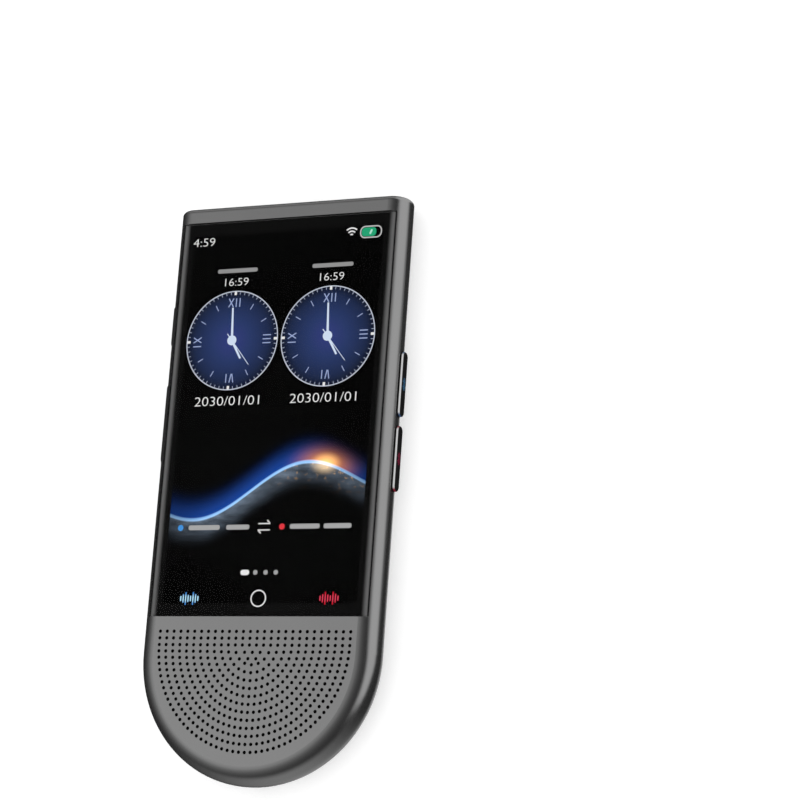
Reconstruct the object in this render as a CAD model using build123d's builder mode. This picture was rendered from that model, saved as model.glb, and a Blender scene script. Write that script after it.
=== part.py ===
"""Handheld translator with a touch screen, speaker grille, side keys and a two-lens camera.

Millimetres. The device lies on its back: +X is its right side, +Y its flat top end and +Z its
screen side. The origin is on the surface it lies on, below the middle of the body.
"""

import os
from math import cos, pi, sin

from build123d import *

os.makedirs("parts", exist_ok=True)

# ---------------------------------------------------------------- driving dimensions
# Body: a slab with straight sides, a half-round bottom end and a flat top end
body_width = 60.0
body_length = 137.0
body_thickness = 10.0
front_round = 4.2
back_round = 5.4
end_round = 1.2
side_wall = 1.8
end_wall = 1.6
front_wall = 1.1
back_wall = 1.1
cover_depth = 3.0  # height of the back cover's outer wall
bump_height = 0.9  # the camera rim stands this proud of the back
seam_chamfer = 0.12  # on both edges where the housing and the cover meet
root_lap = 0.2  # how far a boss, hook or shelf reaches into the wall it grows from
cut_overrun = 1.0  # how far a cut runs past the face it opens

# Cover glass and what carries it
glass_side_margin = 2.0  # the glass's long edges follow the rounding of the sides
glass_top_margin = 3.9
chin_length = 38.3  # bottom end of the body to the glass
glass_thickness = 0.9
glass_edge_round = 0.12
glass_gap = 0.08
ledge_width = 1.0  # under the glass, at its ends
side_ledge_width = 2.2
shelf_thickness = 1.2
shelf_band = 1.2  # material between the glass pocket and the cavity, below the screen
glue_thickness = 0.15
glue_inset = 0.15

# Screen
screen_gap = 0.25  # around the screen in its opening
cell_thickness = 1.0
backlight_thickness = 1.1
tray_floor = 0.25
tray_wall = 0.2
tray_wall_height = 1.95
panel_gap = 0.05  # between the panel and its tray
panel_chamfer = 0.15
flex_thickness = 0.15
flex_x = -10.0
flex_width = 8.0
flex_drop = 0.6  # screen face to the display flex
flex_landing = 4.5
flex_slot_gap = 0.3
flex_notch_depth = 0.7

# Speaker grille: straight rows of holes above half rings of holes, with its own middle
grille_pitch = 1.8
grille_row_pitch = 1.55
grille_rows = 2
grille_side_margin = 5.7  # side of the body to the outermost ring, at most
grille_hole_radius = 0.41
grille_to_glass = 6.64
grille_row_steps = 4  # extra holes that each ring has over the one inside it
grille_middle = ((0, 0.92), (1.1, 0.92), (0.56, 1.73))  # inside the rings, in pitches
grille_middle_rings = 2  # rings whose arcs the middle takes the place of
mesh_thickness = 0.15
mesh_margin = 0.9
mesh_gap = 0.3  # around the screw bosses
mesh_side_inset = 4.6  # the mesh stays this far inside the body's outline

# Mid frame, board and battery
frame_thickness = 0.7
frame_gap = 0.8  # frame edge to the casing wall
frame_end_gap = 0.4
key_bay_depth = 3.7  # room for the key switches between the frame and the wall
key_bay_margin = 3.5
standoff_height = 0.6
standoff_radius = 1.5
board_thickness = 0.8
board_length = 43.2
board_end_gap = 1.7
board_side_gap = 0.3
board_corner = 1.5
board_screw_side = 1.8  # board screws, in from the board's edges
board_screw_low = 2.6
board_screw_high = 7.2
battery_side_gap = 1.5
battery_speaker_gap = 3.4
battery_board_gap = 2.0
battery_room = 0.4  # left for swelling, above the back cover
battery_round = 1.2
battery_end_margin = 4.0  # battery's end to the adhesive
protection_width = 26.0
protection_length = 1.6
protection_lead_width = 5.0
protection_lead_length = 6.4

# Screws
screw_radius = 0.7
screw_length = 2.0
screw_head_radius = 1.3
screw_head_height = 0.5
screw_end_gap = 0.15
drive_length = 1.3  # cross recess in the screw head
drive_width = 0.3
drive_depth = 0.3
thread_gap = 0.03
screw_gap = 0.15
boss_radius = 1.5
boss_ring_inset = 4.1  # screw ring around the speaker, in from the body's outline
boss_ring_angles = (-140, -90, -40)
boss_from_side = 8.5
boss_end_inset = 3.5
boss_chin_drop = 0.3

# Keys in the side walls
key_depth = 5.1  # front face to the keys' middle
key_height = 2.6
key_corner = 1.25
key_proud = 0.8
key_gap = 0.1
key_travel = 0.3
key_edge_round = 0.35
key_flange = 0.65
key_flange_lap = 0.9
key_flange_rise = 0.25  # the flange is this much taller than the key, above and below
key_seat_gap = 0.2  # around the flange
key_seat_depth = 1.5
key_rest_gap = 0.05
key_post_radius = 0.8
switch_gap = 0.06
translate_key_length = 15.3
power_key_length = 10.5
volume_key_length = 19.5
blue_key_from_top = 44.3  # top end of the body to the middle of each key
red_key_from_top = 61.75
power_key_from_top = 28.0
volume_key_from_top = 51.9
rocker_post_offset = 6.5
rocker_flange_length = 9.0
rocker_rest_gap = 0.25
bracket_thickness = 0.3
bracket_height = 3.6
bracket_overhang = 1.5
switch_thickness = 1.0
switch_length = 3.5
switch_height = 2.0
plunger_radius = 0.75
plunger_height = 0.35
switch_drop = 0.55  # top of the switches below the frame's upper face
fulcrum_width = 1.0
fulcrum_height = 1.2

# Top end: socket, SIM tray and microphone
usb_width = 8.94
usb_height = 3.26
usb_wall = 0.3
usb_length = 7.2
usb_setback = 0.2
usb_gap = 0.1
tongue_width = 6.7
tongue_height = 0.7
tongue_length = 4.6
usb_base = 1.4
usb_board_gap = 0.13
usb_frame_gap = 0.5
sim_usb_gap = 1.53  # between the socket and the SIM tray
sim_face_width = 15.0
sim_face_height = 1.9
sim_face_corner = 0.8
sim_gap = 0.1
sim_plate_width = 12.4
sim_plate_thickness = 0.8
sim_plate_drop = 0.3  # plate's lower face above the tray face's lower edge
sim_plate_length = 15.4
sim_card_width = 8.8
sim_card_length = 12.3
sim_card_margin = 1.1  # tray's inner end to the card
sim_socket_wall = 0.15
sim_socket_side = 0.3
sim_room = 0.3
sim_end_room = 0.8
sim_slide_gap = 0.2
nail_notch_width = 4.0
nail_notch_height = 0.3
nail_notch_depth = 0.6
nail_notch_inset = 0.2
microphone_usb_gap = 9.53  # socket to the middle of the microphone hole
microphone_hole_radius = 0.5
microphone_width = 3.5
microphone_length = 2.65
microphone_height = 1.0
microphone_inset = 1.6  # board's end to the top microphone
microphone_port_radius = 0.3
microphone_port_depth = 0.6
boot_radius = 1.3
boot_bore_radius = 0.6

# Cameras
bump_width = 14.4
bump_length = 27.0
bump_end_distance = 20.0  # top end of the body to the bump's middle
rim_width = 1.0
rim_step = 0.4  # the rim's neck is this much inside its flange
rim_neck = 1.2
rim_chamfer = 0.25
rim_gap = 0.05
window_setback = 0.25
window_thickness = 0.5
mask_thickness = 0.1
ledge_step = 0.5
camera_glass_gap = 0.25  # camera barrel to the mask
lens_pitch = 15.5
lens_hole_radius = 4.0
lens_ring_outer = 4.2
lens_ring_inner = 3.1
lens_ring_height = 0.65
lens_ring_bevel = 0.5
barrel_radius = 3.0
barrel_height = 1.5
lens_radius = 2.3
lens_crown = 0.45
lens_setback = 0.8  # lens edge below the barrel's mouth
lens_gap = 0.02
barrel_bevel = 0.35
camera_corner = 0.6
camera_flex_length = 9.0
camera_flex_width = 4.5
camera_width = 8.5
camera_gap = 0.35
flash_radius = 2.1
flash_gap = 0.1
flash_height = 1.15
led_width = 2.6
led_height = 0.7
led_package_width = 3.6

# Speaker
speaker_to_glass = 15.0
speaker_radius = 13.0
speaker_flange = 0.8
speaker_flange_height = 0.6
speaker_height = 3.45
speaker_wall = 1.4
speaker_floor = 0.6
speaker_gap = 0.1
yoke_radius = 7.0
yoke_wall = 0.8
yoke_drop = 1.0
coil_radius = 5.6
coil_wall = 0.4
magnet_radius = 4.8
magnet_height = 1.4
pole_height = 0.5
membrane = 0.15
coil_overlap = 0.3  # the coil reaches this far below the magnet's upper face
coil_drop = 0.35  # top of the coil below the membrane's seat
membrane_seat = 0.55  # top of the speaker frame to the membrane's seat
flange_to_top = 0.6
dome_rise = 0.5
roll_rise = 0.35
roll_width = 2.0
roll_inset = 0.2
magnet_chamfer = 0.2

# Back cover: snap lip and lanyard eye
lip_inset = 0.6
lip_thickness = 0.8
lip_height = 0.7  # above the parting face
lip_root = 1.1  # below the parting face
lip_end_distance = 10.5
snap_length = 5.0
snap_hook = 0.45
snap_rise = 0.5
snap_places = (-33.0, -8.0, 53.0)
snap_gap = 0.15
snap_end_gap = 0.2
snap_seat = 0.05  # the hook's lower face above its pocket's
eye_width = 3.3
eye_length = 2.5
eye_distance = 6.4  # bottom end of the body to the middle of the eye in the back
eye_bar = 1.85
eye_wall = 0.8
eye_bar_thickness = 1.7
eye_slot_low = 0.55
eye_slot_height = 1.95
eye_roof = 1.1
eye_corner = 0.4
eye_ceiling_drop = 0.1  # top of the passage below the parting face
eye_passage_lap = 0.7  # how far the passage runs past the bar

# Parts on the board and in the bottom end
shield_height = 1.7
shield_wall = 0.2
shield_corner = 1.0
shield_board_gap = 5.0  # board's lower edge to the shields
shield_camera_gap = 1.5  # shields to the middle of the camera bump
shield_side_gap = 2.2
shield_lens_gap = 1.6
chip_chamfer = 0.12
motor_x = -17.5
motor_drop = 6.0  # below the glass
motor_radius = 4.0
motor_height = 2.7
motor_chamfer = 0.3
antenna_thickness = 0.2
antenna_band = 4.5
antenna_inset = 6.2
antenna_start = -165.0
antenna_sweep = 60.0
wifi_width = 13.0
wifi_length = 16.0
wifi_corner = 1.0
wifi_side_gap = 2.0
wifi_camera_offset = 4.0
low_microphone_x = 19.0
low_microphone_drop = 9.5

# ---------------------------------------------------------------- levels and places
back_z = bump_height
front_z = back_z + body_thickness
parting_z = back_z + cover_depth
cavity_low_z = back_z + back_wall
cavity_high_z = front_z - front_wall
glass_back_z = front_z - glass_thickness
ledge_z = glass_back_z - glue_thickness
shelf_low_z = ledge_z - shelf_thickness
cell_low_z = glass_back_z - cell_thickness
backlight_low_z = cell_low_z - backlight_thickness
frame_top_z = backlight_low_z - tray_floor
tray_top_z = backlight_low_z + tray_wall_height
frame_low_z = frame_top_z - frame_thickness
board_top_z = frame_low_z - standoff_height
board_low_z = board_top_z - board_thickness
board_mid_z = (board_top_z + board_low_z) / 2
battery_top_z = frame_low_z - glue_thickness
battery_low_z = cavity_low_z + battery_room
key_z = front_z - key_depth
mesh_low_z = cavity_high_z - mesh_thickness

top_y = body_length / 2
bottom_y = -body_length / 2
arc_y = bottom_y + body_width / 2
half_width = body_width / 2
cavity_half = half_width - side_wall
cavity_top_y = top_y - end_wall
lip_half = cavity_half - lip_inset

glass_width = body_width - 2 * glass_side_margin
glass_top_y = top_y - glass_top_margin
glass_bottom_y = bottom_y + chin_length
glass_length = glass_top_y - glass_bottom_y
glass_y = (glass_top_y + glass_bottom_y) / 2
boss_x = half_width - boss_from_side
opening_width = glass_width - 2 * side_ledge_width
opening_length = glass_length - 2 * (ledge_width + shelf_band / 4)
tray_width = opening_width - 2 * screen_gap
tray_length = opening_length - 2 * screen_gap
panel_width = tray_width - 2 * (tray_wall + panel_gap)
panel_length = tray_length - 2 * (tray_wall + panel_gap)

grille_y = glass_bottom_y - grille_to_glass
speaker_y = glass_bottom_y - speaker_to_glass
grille_rings = round((half_width - grille_side_margin) / grille_pitch + 0.5)
camera_y = top_y - bump_end_distance

frame_half = cavity_half - frame_gap
bay_half = cavity_half - key_bay_depth
board_half = bay_half - board_side_gap
board_top_y = cavity_top_y - board_end_gap
board_low_y = board_top_y - board_length
battery_half = bay_half - battery_side_gap
battery_top_y = board_low_y - battery_board_gap
battery_low_y = speaker_y + speaker_radius + speaker_flange + battery_speaker_gap
battery_length = battery_top_y - battery_low_y
window_top_z = window_setback + window_thickness + mask_thickness
camera_low_z = window_top_z + camera_glass_gap + barrel_height
key_face_x = half_width + key_proud
sim_x = (usb_width + sim_face_width) / 2 + sim_usb_gap
microphone_x = -usb_width / 2 - microphone_usb_gap
blue_key_y = top_y - blue_key_from_top
red_key_y = top_y - red_key_from_top
power_key_y = top_y - power_key_from_top
volume_key_y = top_y - volume_key_from_top
key_bay_low_y = red_key_y - translate_key_length / 2 - key_bay_margin
key_bay_high_y = power_key_y + power_key_length / 2 + key_bay_margin
flex_slot_y = glass_y + opening_length / 2 - flex_thickness - root_lap / 4


# ---------------------------------------------------------------- shared forms
def slab_outline(half, end_y):
    """Plan of the body: straight sides, half-round bottom end, square top end."""
    with BuildSketch() as outline:
        with BuildLine():
            Line((half, arc_y), (half, end_y))
            Line((half, end_y), (-half, end_y))
            Line((-half, end_y), (-half, arc_y))
            ThreePointArc((-half, arc_y), (0, arc_y - half), (half, arc_y))
        make_face()
    return outline.sketch


def slab_form(half, low_z, high_z, front_radius, back_radius, end_y):
    """A slab on that plan, rounded along its sides and bottom and cut flat at the top end."""
    overrun = 2 * back_radius
    with BuildPart() as form:
        with BuildSketch(Plane.XY.offset(low_z)):
            add(slab_outline(half, end_y + overrun))
        extrude(amount=high_z - low_z)
        front_edges = form.faces().sort_by(Axis.Z)[-1].edges()
        fillet(front_edges.filter_by_position(Axis.Y, bottom_y - cut_overrun, end_y), front_radius)
        back_edges = form.faces().sort_by(Axis.Z)[0].edges()
        fillet(back_edges.filter_by_position(Axis.Y, bottom_y - cut_overrun, end_y), back_radius)
        split(bisect_by=Plane.XZ.offset(-end_y), keep=Keep.TOP)
    return form.part


def grille_places():
    """Straight rows, then one arc of holes for each ring below them, but for the middle."""
    places = []
    for ring in range(grille_rings):
        radius = (ring + 0.5) * grille_pitch
        for row in range(1, grille_rows + 1):
            row_y = grille_y + row * grille_row_pitch
            places += [(-radius, row_y), (radius, row_y)]
        if ring < grille_middle_rings:
            places += [(-radius, grille_y), (radius, grille_y)]
            continue
        steps = grille_row_steps * ring
        for step in range(steps + 1):
            angle = pi * step / steps
            places.append((radius * cos(angle), grille_y - radius * sin(angle)))
    for across, drop in grille_middle:
        y = grille_y - drop * grille_pitch
        places += [(side * across * grille_pitch, y) for side in ((-1, 1) if across else (1,))]
    return places


def frame_screw_places():
    """Two screws above the screen, two below it and three around the speaker."""
    ring_radius = half_width - boss_ring_inset
    above = top_y - boss_end_inset
    below = glass_bottom_y - boss_chin_drop
    places = [(-boss_x, above), (boss_x, above), (-boss_x, below), (boss_x, below)]
    for degrees in boss_ring_angles:
        angle = degrees * pi / 180
        places.append((ring_radius * cos(angle), arc_y + ring_radius * sin(angle)))
    return places


def board_screw_places():
    """The board's four corners."""
    x = board_half - board_screw_side
    low = board_low_y + board_screw_low
    high = board_top_y - board_screw_high
    return [(-x, low), (x, low), (-x, high), (x, high)]


with BuildPart() as body_form:
    add(slab_form(half_width, back_z, front_z, front_round, back_round, top_y))
    fillet(body_form.faces().sort_by(Axis.Y)[-1].edges(), end_round)

cavity_form = slab_form(
    cavity_half,
    cavity_low_z,
    cavity_high_z,
    front_round - side_wall,
    back_round - side_wall,
    cavity_top_y,
)

sim_z = board_low_z - 2 * sim_socket_wall - sim_plate_thickness - sim_plate_drop + sim_face_height / 2

key_places = (
    (1, blue_key_y, translate_key_length),
    (1, red_key_y, translate_key_length),
    (-1, power_key_y, power_key_length),
    (-1, volume_key_y, volume_key_length),
)

# What is cut through the top end wall: USB slot, SIM slot and microphone hole
with BuildPart() as end_openings:
    with BuildSketch(Plane.XZ.offset(cut_overrun - cavity_top_y)):
        with Locations((0, board_mid_z)):
            SlotOverall(usb_width + 2 * usb_gap, usb_height + 2 * usb_gap)
        with Locations((sim_x, sim_z)):
            RectangleRounded(
                sim_face_width + 2 * sim_gap,
                sim_face_height + 2 * sim_gap,
                sim_face_corner + sim_gap,
            )
        with Locations((microphone_x, sim_z)):
            Circle(microphone_hole_radius)
    extrude(amount=-(end_wall + 2 * cut_overrun))


def key_slots(side, middle, length):
    """Slot for one key, and the flat seat behind it that the key's flange rests against."""
    slot_length = length + 2 * key_gap
    seat_length = length + 2 * (key_flange_lap + key_seat_gap)
    seat_height = key_height + 2 * (key_flange_rise + key_seat_gap)
    with BuildPart() as slots:
        with BuildSketch(Plane.YZ.offset(side * (cavity_half - cut_overrun / 2))):
            with Locations((middle, key_z)):
                RectangleRounded(slot_length, key_height + 2 * key_gap, key_corner)
        extrude(amount=side * (side_wall + cut_overrun))
        with BuildSketch(Plane.YZ.offset(side * (cavity_half - key_seat_depth))):
            with Locations((middle, key_z)):
                Rectangle(seat_length, seat_height)
        extrude(amount=side * key_seat_depth)
    return slots.part


# ---------------------------------------------------------------- casing
# Material around the screen that the housing's shelf is made of
shelf_low_y = glass_bottom_y - glass_gap - shelf_band
with BuildPart() as shelf:
    with BuildSketch(Plane.XY.offset(shelf_low_z)):
        with Locations((0, (shelf_low_y + cavity_top_y + root_lap) / 2)):
            Rectangle(2 * half_width, cavity_top_y + root_lap - shelf_low_y)
    extrude(amount=front_z - shelf_low_z)
    add(body_form.part, mode=Mode.INTERSECT)

with BuildPart() as front_housing:
    add(body_form.part)
    split(bisect_by=Plane.XY.offset(parting_z), keep=Keep.TOP)
    chamfer(front_housing.faces().sort_by(Axis.Z)[0].edges(), seam_chamfer)
    add(cavity_form, mode=Mode.SUBTRACT)

    # Shelf around the screen
    add(shelf.part)

    # Screw bosses that hang down to the mid frame
    with BuildSketch(Plane.XY.offset(frame_top_z)):
        with Locations(frame_screw_places()):
            Circle(boss_radius)
    extrude(amount=cavity_high_z + root_lap - frame_top_z)
    with BuildSketch(Plane.XY.offset(frame_top_z)):
        with Locations(frame_screw_places()):
            Circle(screw_radius + thread_gap)
    extrude(amount=screw_length - frame_thickness + screw_end_gap, mode=Mode.SUBTRACT)

    # Pocket for the glass and opening for the screen
    with BuildSketch(Plane.XY.offset(ledge_z)):
        with Locations((0, glass_y)):
            Rectangle(glass_width + 2 * glass_gap, glass_length + 2 * glass_gap)
    extrude(amount=body_thickness, mode=Mode.SUBTRACT)
    with BuildSketch(Plane.XY.offset(shelf_low_z - cut_overrun)):
        with Locations((0, glass_y)):
            Rectangle(opening_width, opening_length)
    extrude(amount=body_thickness, mode=Mode.SUBTRACT)

    # Key slots, top end openings and the pockets that the cover's hooks snap into
    for key_side, key_y, key_length in key_places:
        add(key_slots(key_side, key_y, key_length), mode=Mode.SUBTRACT)
    add(end_openings.part, mode=Mode.SUBTRACT)
    for snap_y in snap_places:
        with BuildSketch(Plane.XY.offset(parting_z + snap_rise)):
            with Locations((0, snap_y)):
                Rectangle(2 * (lip_half + snap_hook + snap_gap), snap_length + 2 * snap_end_gap)
        extrude(amount=snap_rise + 4 * snap_seat, mode=Mode.SUBTRACT)

    # Grille
    with BuildSketch(Plane.XY.offset(cavity_high_z - cut_overrun / 2)):
        with Locations(grille_places()):
            Circle(grille_hole_radius)
    extrude(amount=front_wall + cut_overrun, mode=Mode.SUBTRACT)

front_housing.part.label = "front_housing"
export_step(front_housing.part, "parts/front_housing.step")

eye_y = bottom_y + eye_distance
eye_inner_y = eye_y + eye_length / 2
eye_slot_y = eye_y - eye_length / 2 - eye_bar
eye_ceiling_z = parting_z - eye_ceiling_drop

with BuildPart() as back_cover:
    add(body_form.part)
    split(bisect_by=Plane.XY.offset(parting_z), keep=Keep.BOTTOM)
    chamfer(back_cover.faces().sort_by(Axis.Z)[-1].edges(), seam_chamfer)
    add(cavity_form, mode=Mode.SUBTRACT)

    # Lip that stands inside the housing, with its hooks
    with BuildSketch(Plane.XY.offset(parting_z - lip_root)):
        add(slab_outline(lip_half, top_y - lip_end_distance))
        add(slab_outline(lip_half - lip_thickness, top_y), mode=Mode.SUBTRACT)
    extrude(amount=lip_root + lip_height)
    for snap_side in (-1, 1):
        with BuildSketch(Plane.XY.offset(parting_z)):
            for snap_y in snap_places:
                with Locations((snap_side * (lip_half - lip_thickness / 2), snap_y)):
                    Rectangle(lip_thickness, snap_length)
        extrude(amount=2 * (snap_rise + snap_seat))
        with BuildSketch(Plane.XY.offset(parting_z + snap_rise + snap_seat)):
            for snap_y in snap_places:
                with Locations((snap_side * (lip_half + (snap_hook - root_lap) / 2), snap_y)):
                    Rectangle(snap_hook + root_lap, snap_length)
        extrude(amount=snap_rise)

    # The lip stands back from the keys' flanges
    for key_side, key_y, key_length in key_places:
        with BuildSketch(Plane.XY.offset(parting_z)):
            with Locations((key_side * (lip_half - lip_thickness / 2), key_y)):
                Rectangle(lip_thickness + root_lap, key_length + 2 * (key_flange_lap + key_seat_gap))
        extrude(amount=lip_height, mode=Mode.SUBTRACT)

    # Lanyard eye: a block with a passage from the back face round a bar to the bottom end
    with BuildSketch(Plane.XY.offset(cavity_low_z - root_lap)):
        add(slab_outline(lip_half, top_y))
        with Locations((0, eye_inner_y + eye_wall - body_length / 2)):
            Rectangle(eye_width + 2 * eye_wall, body_length, mode=Mode.INTERSECT)
    extrude(amount=parting_z + eye_roof - cavity_low_z + root_lap)
    with BuildSketch():
        with Locations((0, eye_y)):
            RectangleRounded(eye_width, eye_length, eye_corner)
    extrude(amount=eye_ceiling_z, mode=Mode.SUBTRACT)
    with BuildSketch(Plane.XY.offset(back_z + eye_bar_thickness)):
        with Locations((0, (eye_slot_y - eye_passage_lap + eye_inner_y) / 2)):
            Rectangle(eye_width, eye_inner_y - eye_slot_y + eye_passage_lap)
    extrude(amount=eye_ceiling_z - back_z - eye_bar_thickness, mode=Mode.SUBTRACT)
    with BuildSketch(Plane.XZ.offset(-eye_slot_y)):
        with Locations((0, back_z + eye_slot_low + eye_slot_height / 2)):
            RectangleRounded(eye_width, eye_slot_height, eye_corner)
    extrude(amount=body_width / 4, mode=Mode.SUBTRACT)

    # Opening for the camera rim
    with BuildSketch():
        with Locations((0, camera_y)):
            SlotOverall(
                bump_length - 2 * rim_step + 2 * rim_gap,
                bump_width - 2 * rim_step + 2 * rim_gap,
                rotation=90,
            )
    extrude(amount=cavity_low_z + cut_overrun, mode=Mode.SUBTRACT)
    add(end_openings.part, mode=Mode.SUBTRACT)

back_cover.part.label = "back_cover"
export_step(back_cover.part, "parts/back_cover.step")

with BuildPart() as mid_frame:
    with BuildSketch(Plane.XY.offset(frame_low_z)):
        add(slab_outline(frame_half, cavity_top_y - frame_end_gap))
        with Locations((0, (key_bay_low_y + key_bay_high_y) / 2)):
            bay_width = frame_half - bay_half
            for bay_side in (-1, 1):
                with Locations((bay_side * (bay_half + (bay_width + cut_overrun) / 2), 0)):
                    Rectangle(bay_width + cut_overrun, key_bay_high_y - key_bay_low_y, mode=Mode.SUBTRACT)
        with Locations((0, speaker_y)):
            Circle(speaker_radius + speaker_gap, mode=Mode.SUBTRACT)
        with Locations((0, cavity_top_y - usb_length / 2)):
            Rectangle(usb_width + 2 * usb_frame_gap, usb_length + 3 * usb_frame_gap, mode=Mode.SUBTRACT)
        with Locations(frame_screw_places()):
            Circle(screw_radius + screw_gap, mode=Mode.SUBTRACT)
        with Locations((flex_x, flex_slot_y)):
            slot_width = flex_width + 2 * flex_slot_gap
            Rectangle(slot_width, 2 * (flex_thickness + flex_slot_gap), mode=Mode.SUBTRACT)
    extrude(amount=frame_thickness)
    with BuildSketch(Plane.XY.offset(board_top_z)):
        with Locations(board_screw_places()):
            Circle(standoff_radius)
    extrude(amount=standoff_height)
    with BuildSketch(Plane.XY.offset(board_top_z)):
        with Locations(board_screw_places()):
            Circle(screw_radius + thread_gap)
    extrude(amount=standoff_height + frame_thickness, mode=Mode.SUBTRACT)

mid_frame.part.label = "mid_frame"
export_step(mid_frame.part, "parts/mid_frame.step")

# One screw size holds the frame to the housing and the board to the frame
with BuildPart() as screws:
    for places, seat_z in ((frame_screw_places(), frame_low_z), (board_screw_places(), board_low_z)):
        with BuildSketch(Plane.XY.offset(seat_z)):
            with Locations(places):
                Circle(screw_radius)
        extrude(amount=screw_length)
        with BuildSketch(Plane.XY.offset(seat_z - screw_head_height)):
            with Locations(places):
                Circle(screw_head_radius)
        extrude(amount=screw_head_height)
        with BuildSketch(Plane.XY.offset(seat_z - screw_head_height)):
            with Locations(places):
                for turn in (0, 90):
                    Rectangle(drive_length, drive_width, rotation=turn)
        extrude(amount=drive_depth, mode=Mode.SUBTRACT)

screws.part.label = "screws"
export_step(screws.part, "parts/screws.step")

# ---------------------------------------------------------------- screen
with BuildPart() as front_glass:
    with BuildSketch(Plane.XY.offset(glass_back_z)):
        with Locations((0, glass_y)):
            Rectangle(glass_width, glass_length)
    extrude(amount=glass_thickness + cut_overrun)
    add(body_form.part, mode=Mode.INTERSECT)
    upper_edges = front_glass.edges().filter_by(Axis.Y).sort_by(Axis.Z)[2:]
    long_edges = [edge for edge in upper_edges if abs(edge.center().X) > glass_width / 2 - glass_gap]
    fillet(long_edges, glass_edge_round)

front_glass.part.label = "front_glass"
export_step(front_glass.part, "parts/front_glass.step")

with BuildPart() as glass_adhesive:
    with BuildSketch(Plane.XY.offset(ledge_z)):
        with Locations((0, glass_y)):
            Rectangle(glass_width - 2 * glue_inset, glass_length - 2 * glue_inset)
            Rectangle(opening_width, opening_length, mode=Mode.SUBTRACT)
    extrude(amount=glue_thickness)

glass_adhesive.part.label = "glass_adhesive"
export_step(glass_adhesive.part, "parts/glass_adhesive.step")

with BuildPart() as display_cell:
    with BuildSketch(Plane.XY.offset(cell_low_z)):
        with Locations((0, glass_y)):
            Rectangle(panel_width, panel_length)
    extrude(amount=cell_thickness)
    chamfer(display_cell.faces().sort_by(Axis.Z)[0].edges(), panel_chamfer)

display_cell.part.label = "display_cell"
export_step(display_cell.part, "parts/display_cell.step")

with BuildPart() as display_backlight:
    with BuildSketch(Plane.XY.offset(backlight_low_z)):
        with Locations((0, glass_y)):
            Rectangle(panel_width, panel_length)
    extrude(amount=backlight_thickness)

display_backlight.part.label = "display_backlight"
export_step(display_backlight.part, "parts/display_backlight.step")

with BuildPart() as display_tray:
    with BuildSketch(Plane.XY.offset(frame_top_z)):
        with Locations((0, glass_y)):
            Rectangle(tray_width, tray_length)
    extrude(amount=tray_floor + tray_wall_height)
    with BuildSketch(Plane.XY.offset(backlight_low_z)):
        with Locations((0, glass_y)):
            Rectangle(tray_width - 2 * tray_wall, tray_length - 2 * tray_wall)
    extrude(amount=tray_wall_height, mode=Mode.SUBTRACT)
    # The flex leaves through a notch in the top wall
    with BuildSketch(Plane.XY.offset(tray_top_z - flex_notch_depth)):
        with Locations((flex_x, glass_y + tray_length / 2)):
            Rectangle(flex_width + 2 * flex_slot_gap, 2 * (tray_wall + panel_gap))
    extrude(amount=tray_wall_height, mode=Mode.SUBTRACT)

display_tray.part.label = "display_tray"
export_step(display_tray.part, "parts/display_tray.step")

# Flat cable from the panel's edge down through the frame to the board
flex_high_z = glass_back_z - flex_drop
flex_low_z = board_top_z + flex_thickness
panel_end_y = glass_y + panel_length / 2
with BuildPart() as display_flex:
    with BuildSketch(Plane.YZ.offset(flex_x)):
        with BuildLine():
            Polyline(
                (panel_end_y, flex_high_z),
                (flex_slot_y, flex_high_z),
                (flex_slot_y, flex_low_z),
                (flex_slot_y - flex_landing, flex_low_z),
                (flex_slot_y - flex_landing, board_top_z),
                (flex_slot_y + flex_thickness, board_top_z),
                (flex_slot_y + flex_thickness, flex_high_z + flex_thickness),
                (panel_end_y, flex_high_z + flex_thickness),
                close=True,
            )
        make_face()
    extrude(amount=flex_width / 2, both=True)

display_flex.part.label = "display_flex"
export_step(display_flex.part, "parts/display_flex.step")

# ---------------------------------------------------------------- speaker
mesh_radius = (grille_rings - 0.5) * grille_pitch + mesh_margin
with BuildPart() as grille_mesh:
    with BuildSketch(Plane.XY.offset(mesh_low_z)):
        mesh_high_y = grille_y + grille_rows * grille_row_pitch + mesh_margin
        with Locations((0, grille_y)):
            Circle(mesh_radius)
        with Locations((0, mesh_high_y - body_length / 2)):
            Rectangle(body_width, body_length, mode=Mode.INTERSECT)
        add(slab_outline(half_width - mesh_side_inset, top_y), mode=Mode.INTERSECT)
        with Locations(frame_screw_places()):
            Circle(boss_radius + mesh_gap, mode=Mode.SUBTRACT)
    extrude(amount=mesh_thickness)

grille_mesh.part.label = "grille_mesh"
export_step(grille_mesh.part, "parts/grille_mesh.step")

speaker_axis = Axis((0, speaker_y, 0), (0, 0, 1))
speaker_plane = Plane.XZ.offset(-speaker_y)
speaker_low_z = frame_top_z + speaker_flange_height + flange_to_top - speaker_height
speaker_top_z = speaker_low_z + speaker_height
rim_seat_z = speaker_top_z - membrane_seat
frame_bore = speaker_radius - speaker_wall

with BuildPart() as speaker_frame:
    with BuildSketch(speaker_plane):
        with BuildLine():
            Polyline(
                (yoke_radius + thread_gap, speaker_low_z),
                (speaker_radius, speaker_low_z),
                (speaker_radius, frame_top_z),
                (speaker_radius + speaker_flange, frame_top_z),
                (speaker_radius + speaker_flange, frame_top_z + speaker_flange_height),
                (speaker_radius, frame_top_z + speaker_flange_height),
                (speaker_radius, speaker_top_z),
                (frame_bore + speaker_wall / 2, speaker_top_z),
                (frame_bore + speaker_wall / 2, rim_seat_z),
                (frame_bore, rim_seat_z),
                (frame_bore, speaker_low_z + speaker_floor),
                (yoke_radius + thread_gap, speaker_low_z + speaker_floor),
                close=True,
            )
        make_face()
    revolve(axis=speaker_axis)

speaker_frame.part.label = "speaker_frame"
export_step(speaker_frame.part, "parts/speaker_frame.step")

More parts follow.
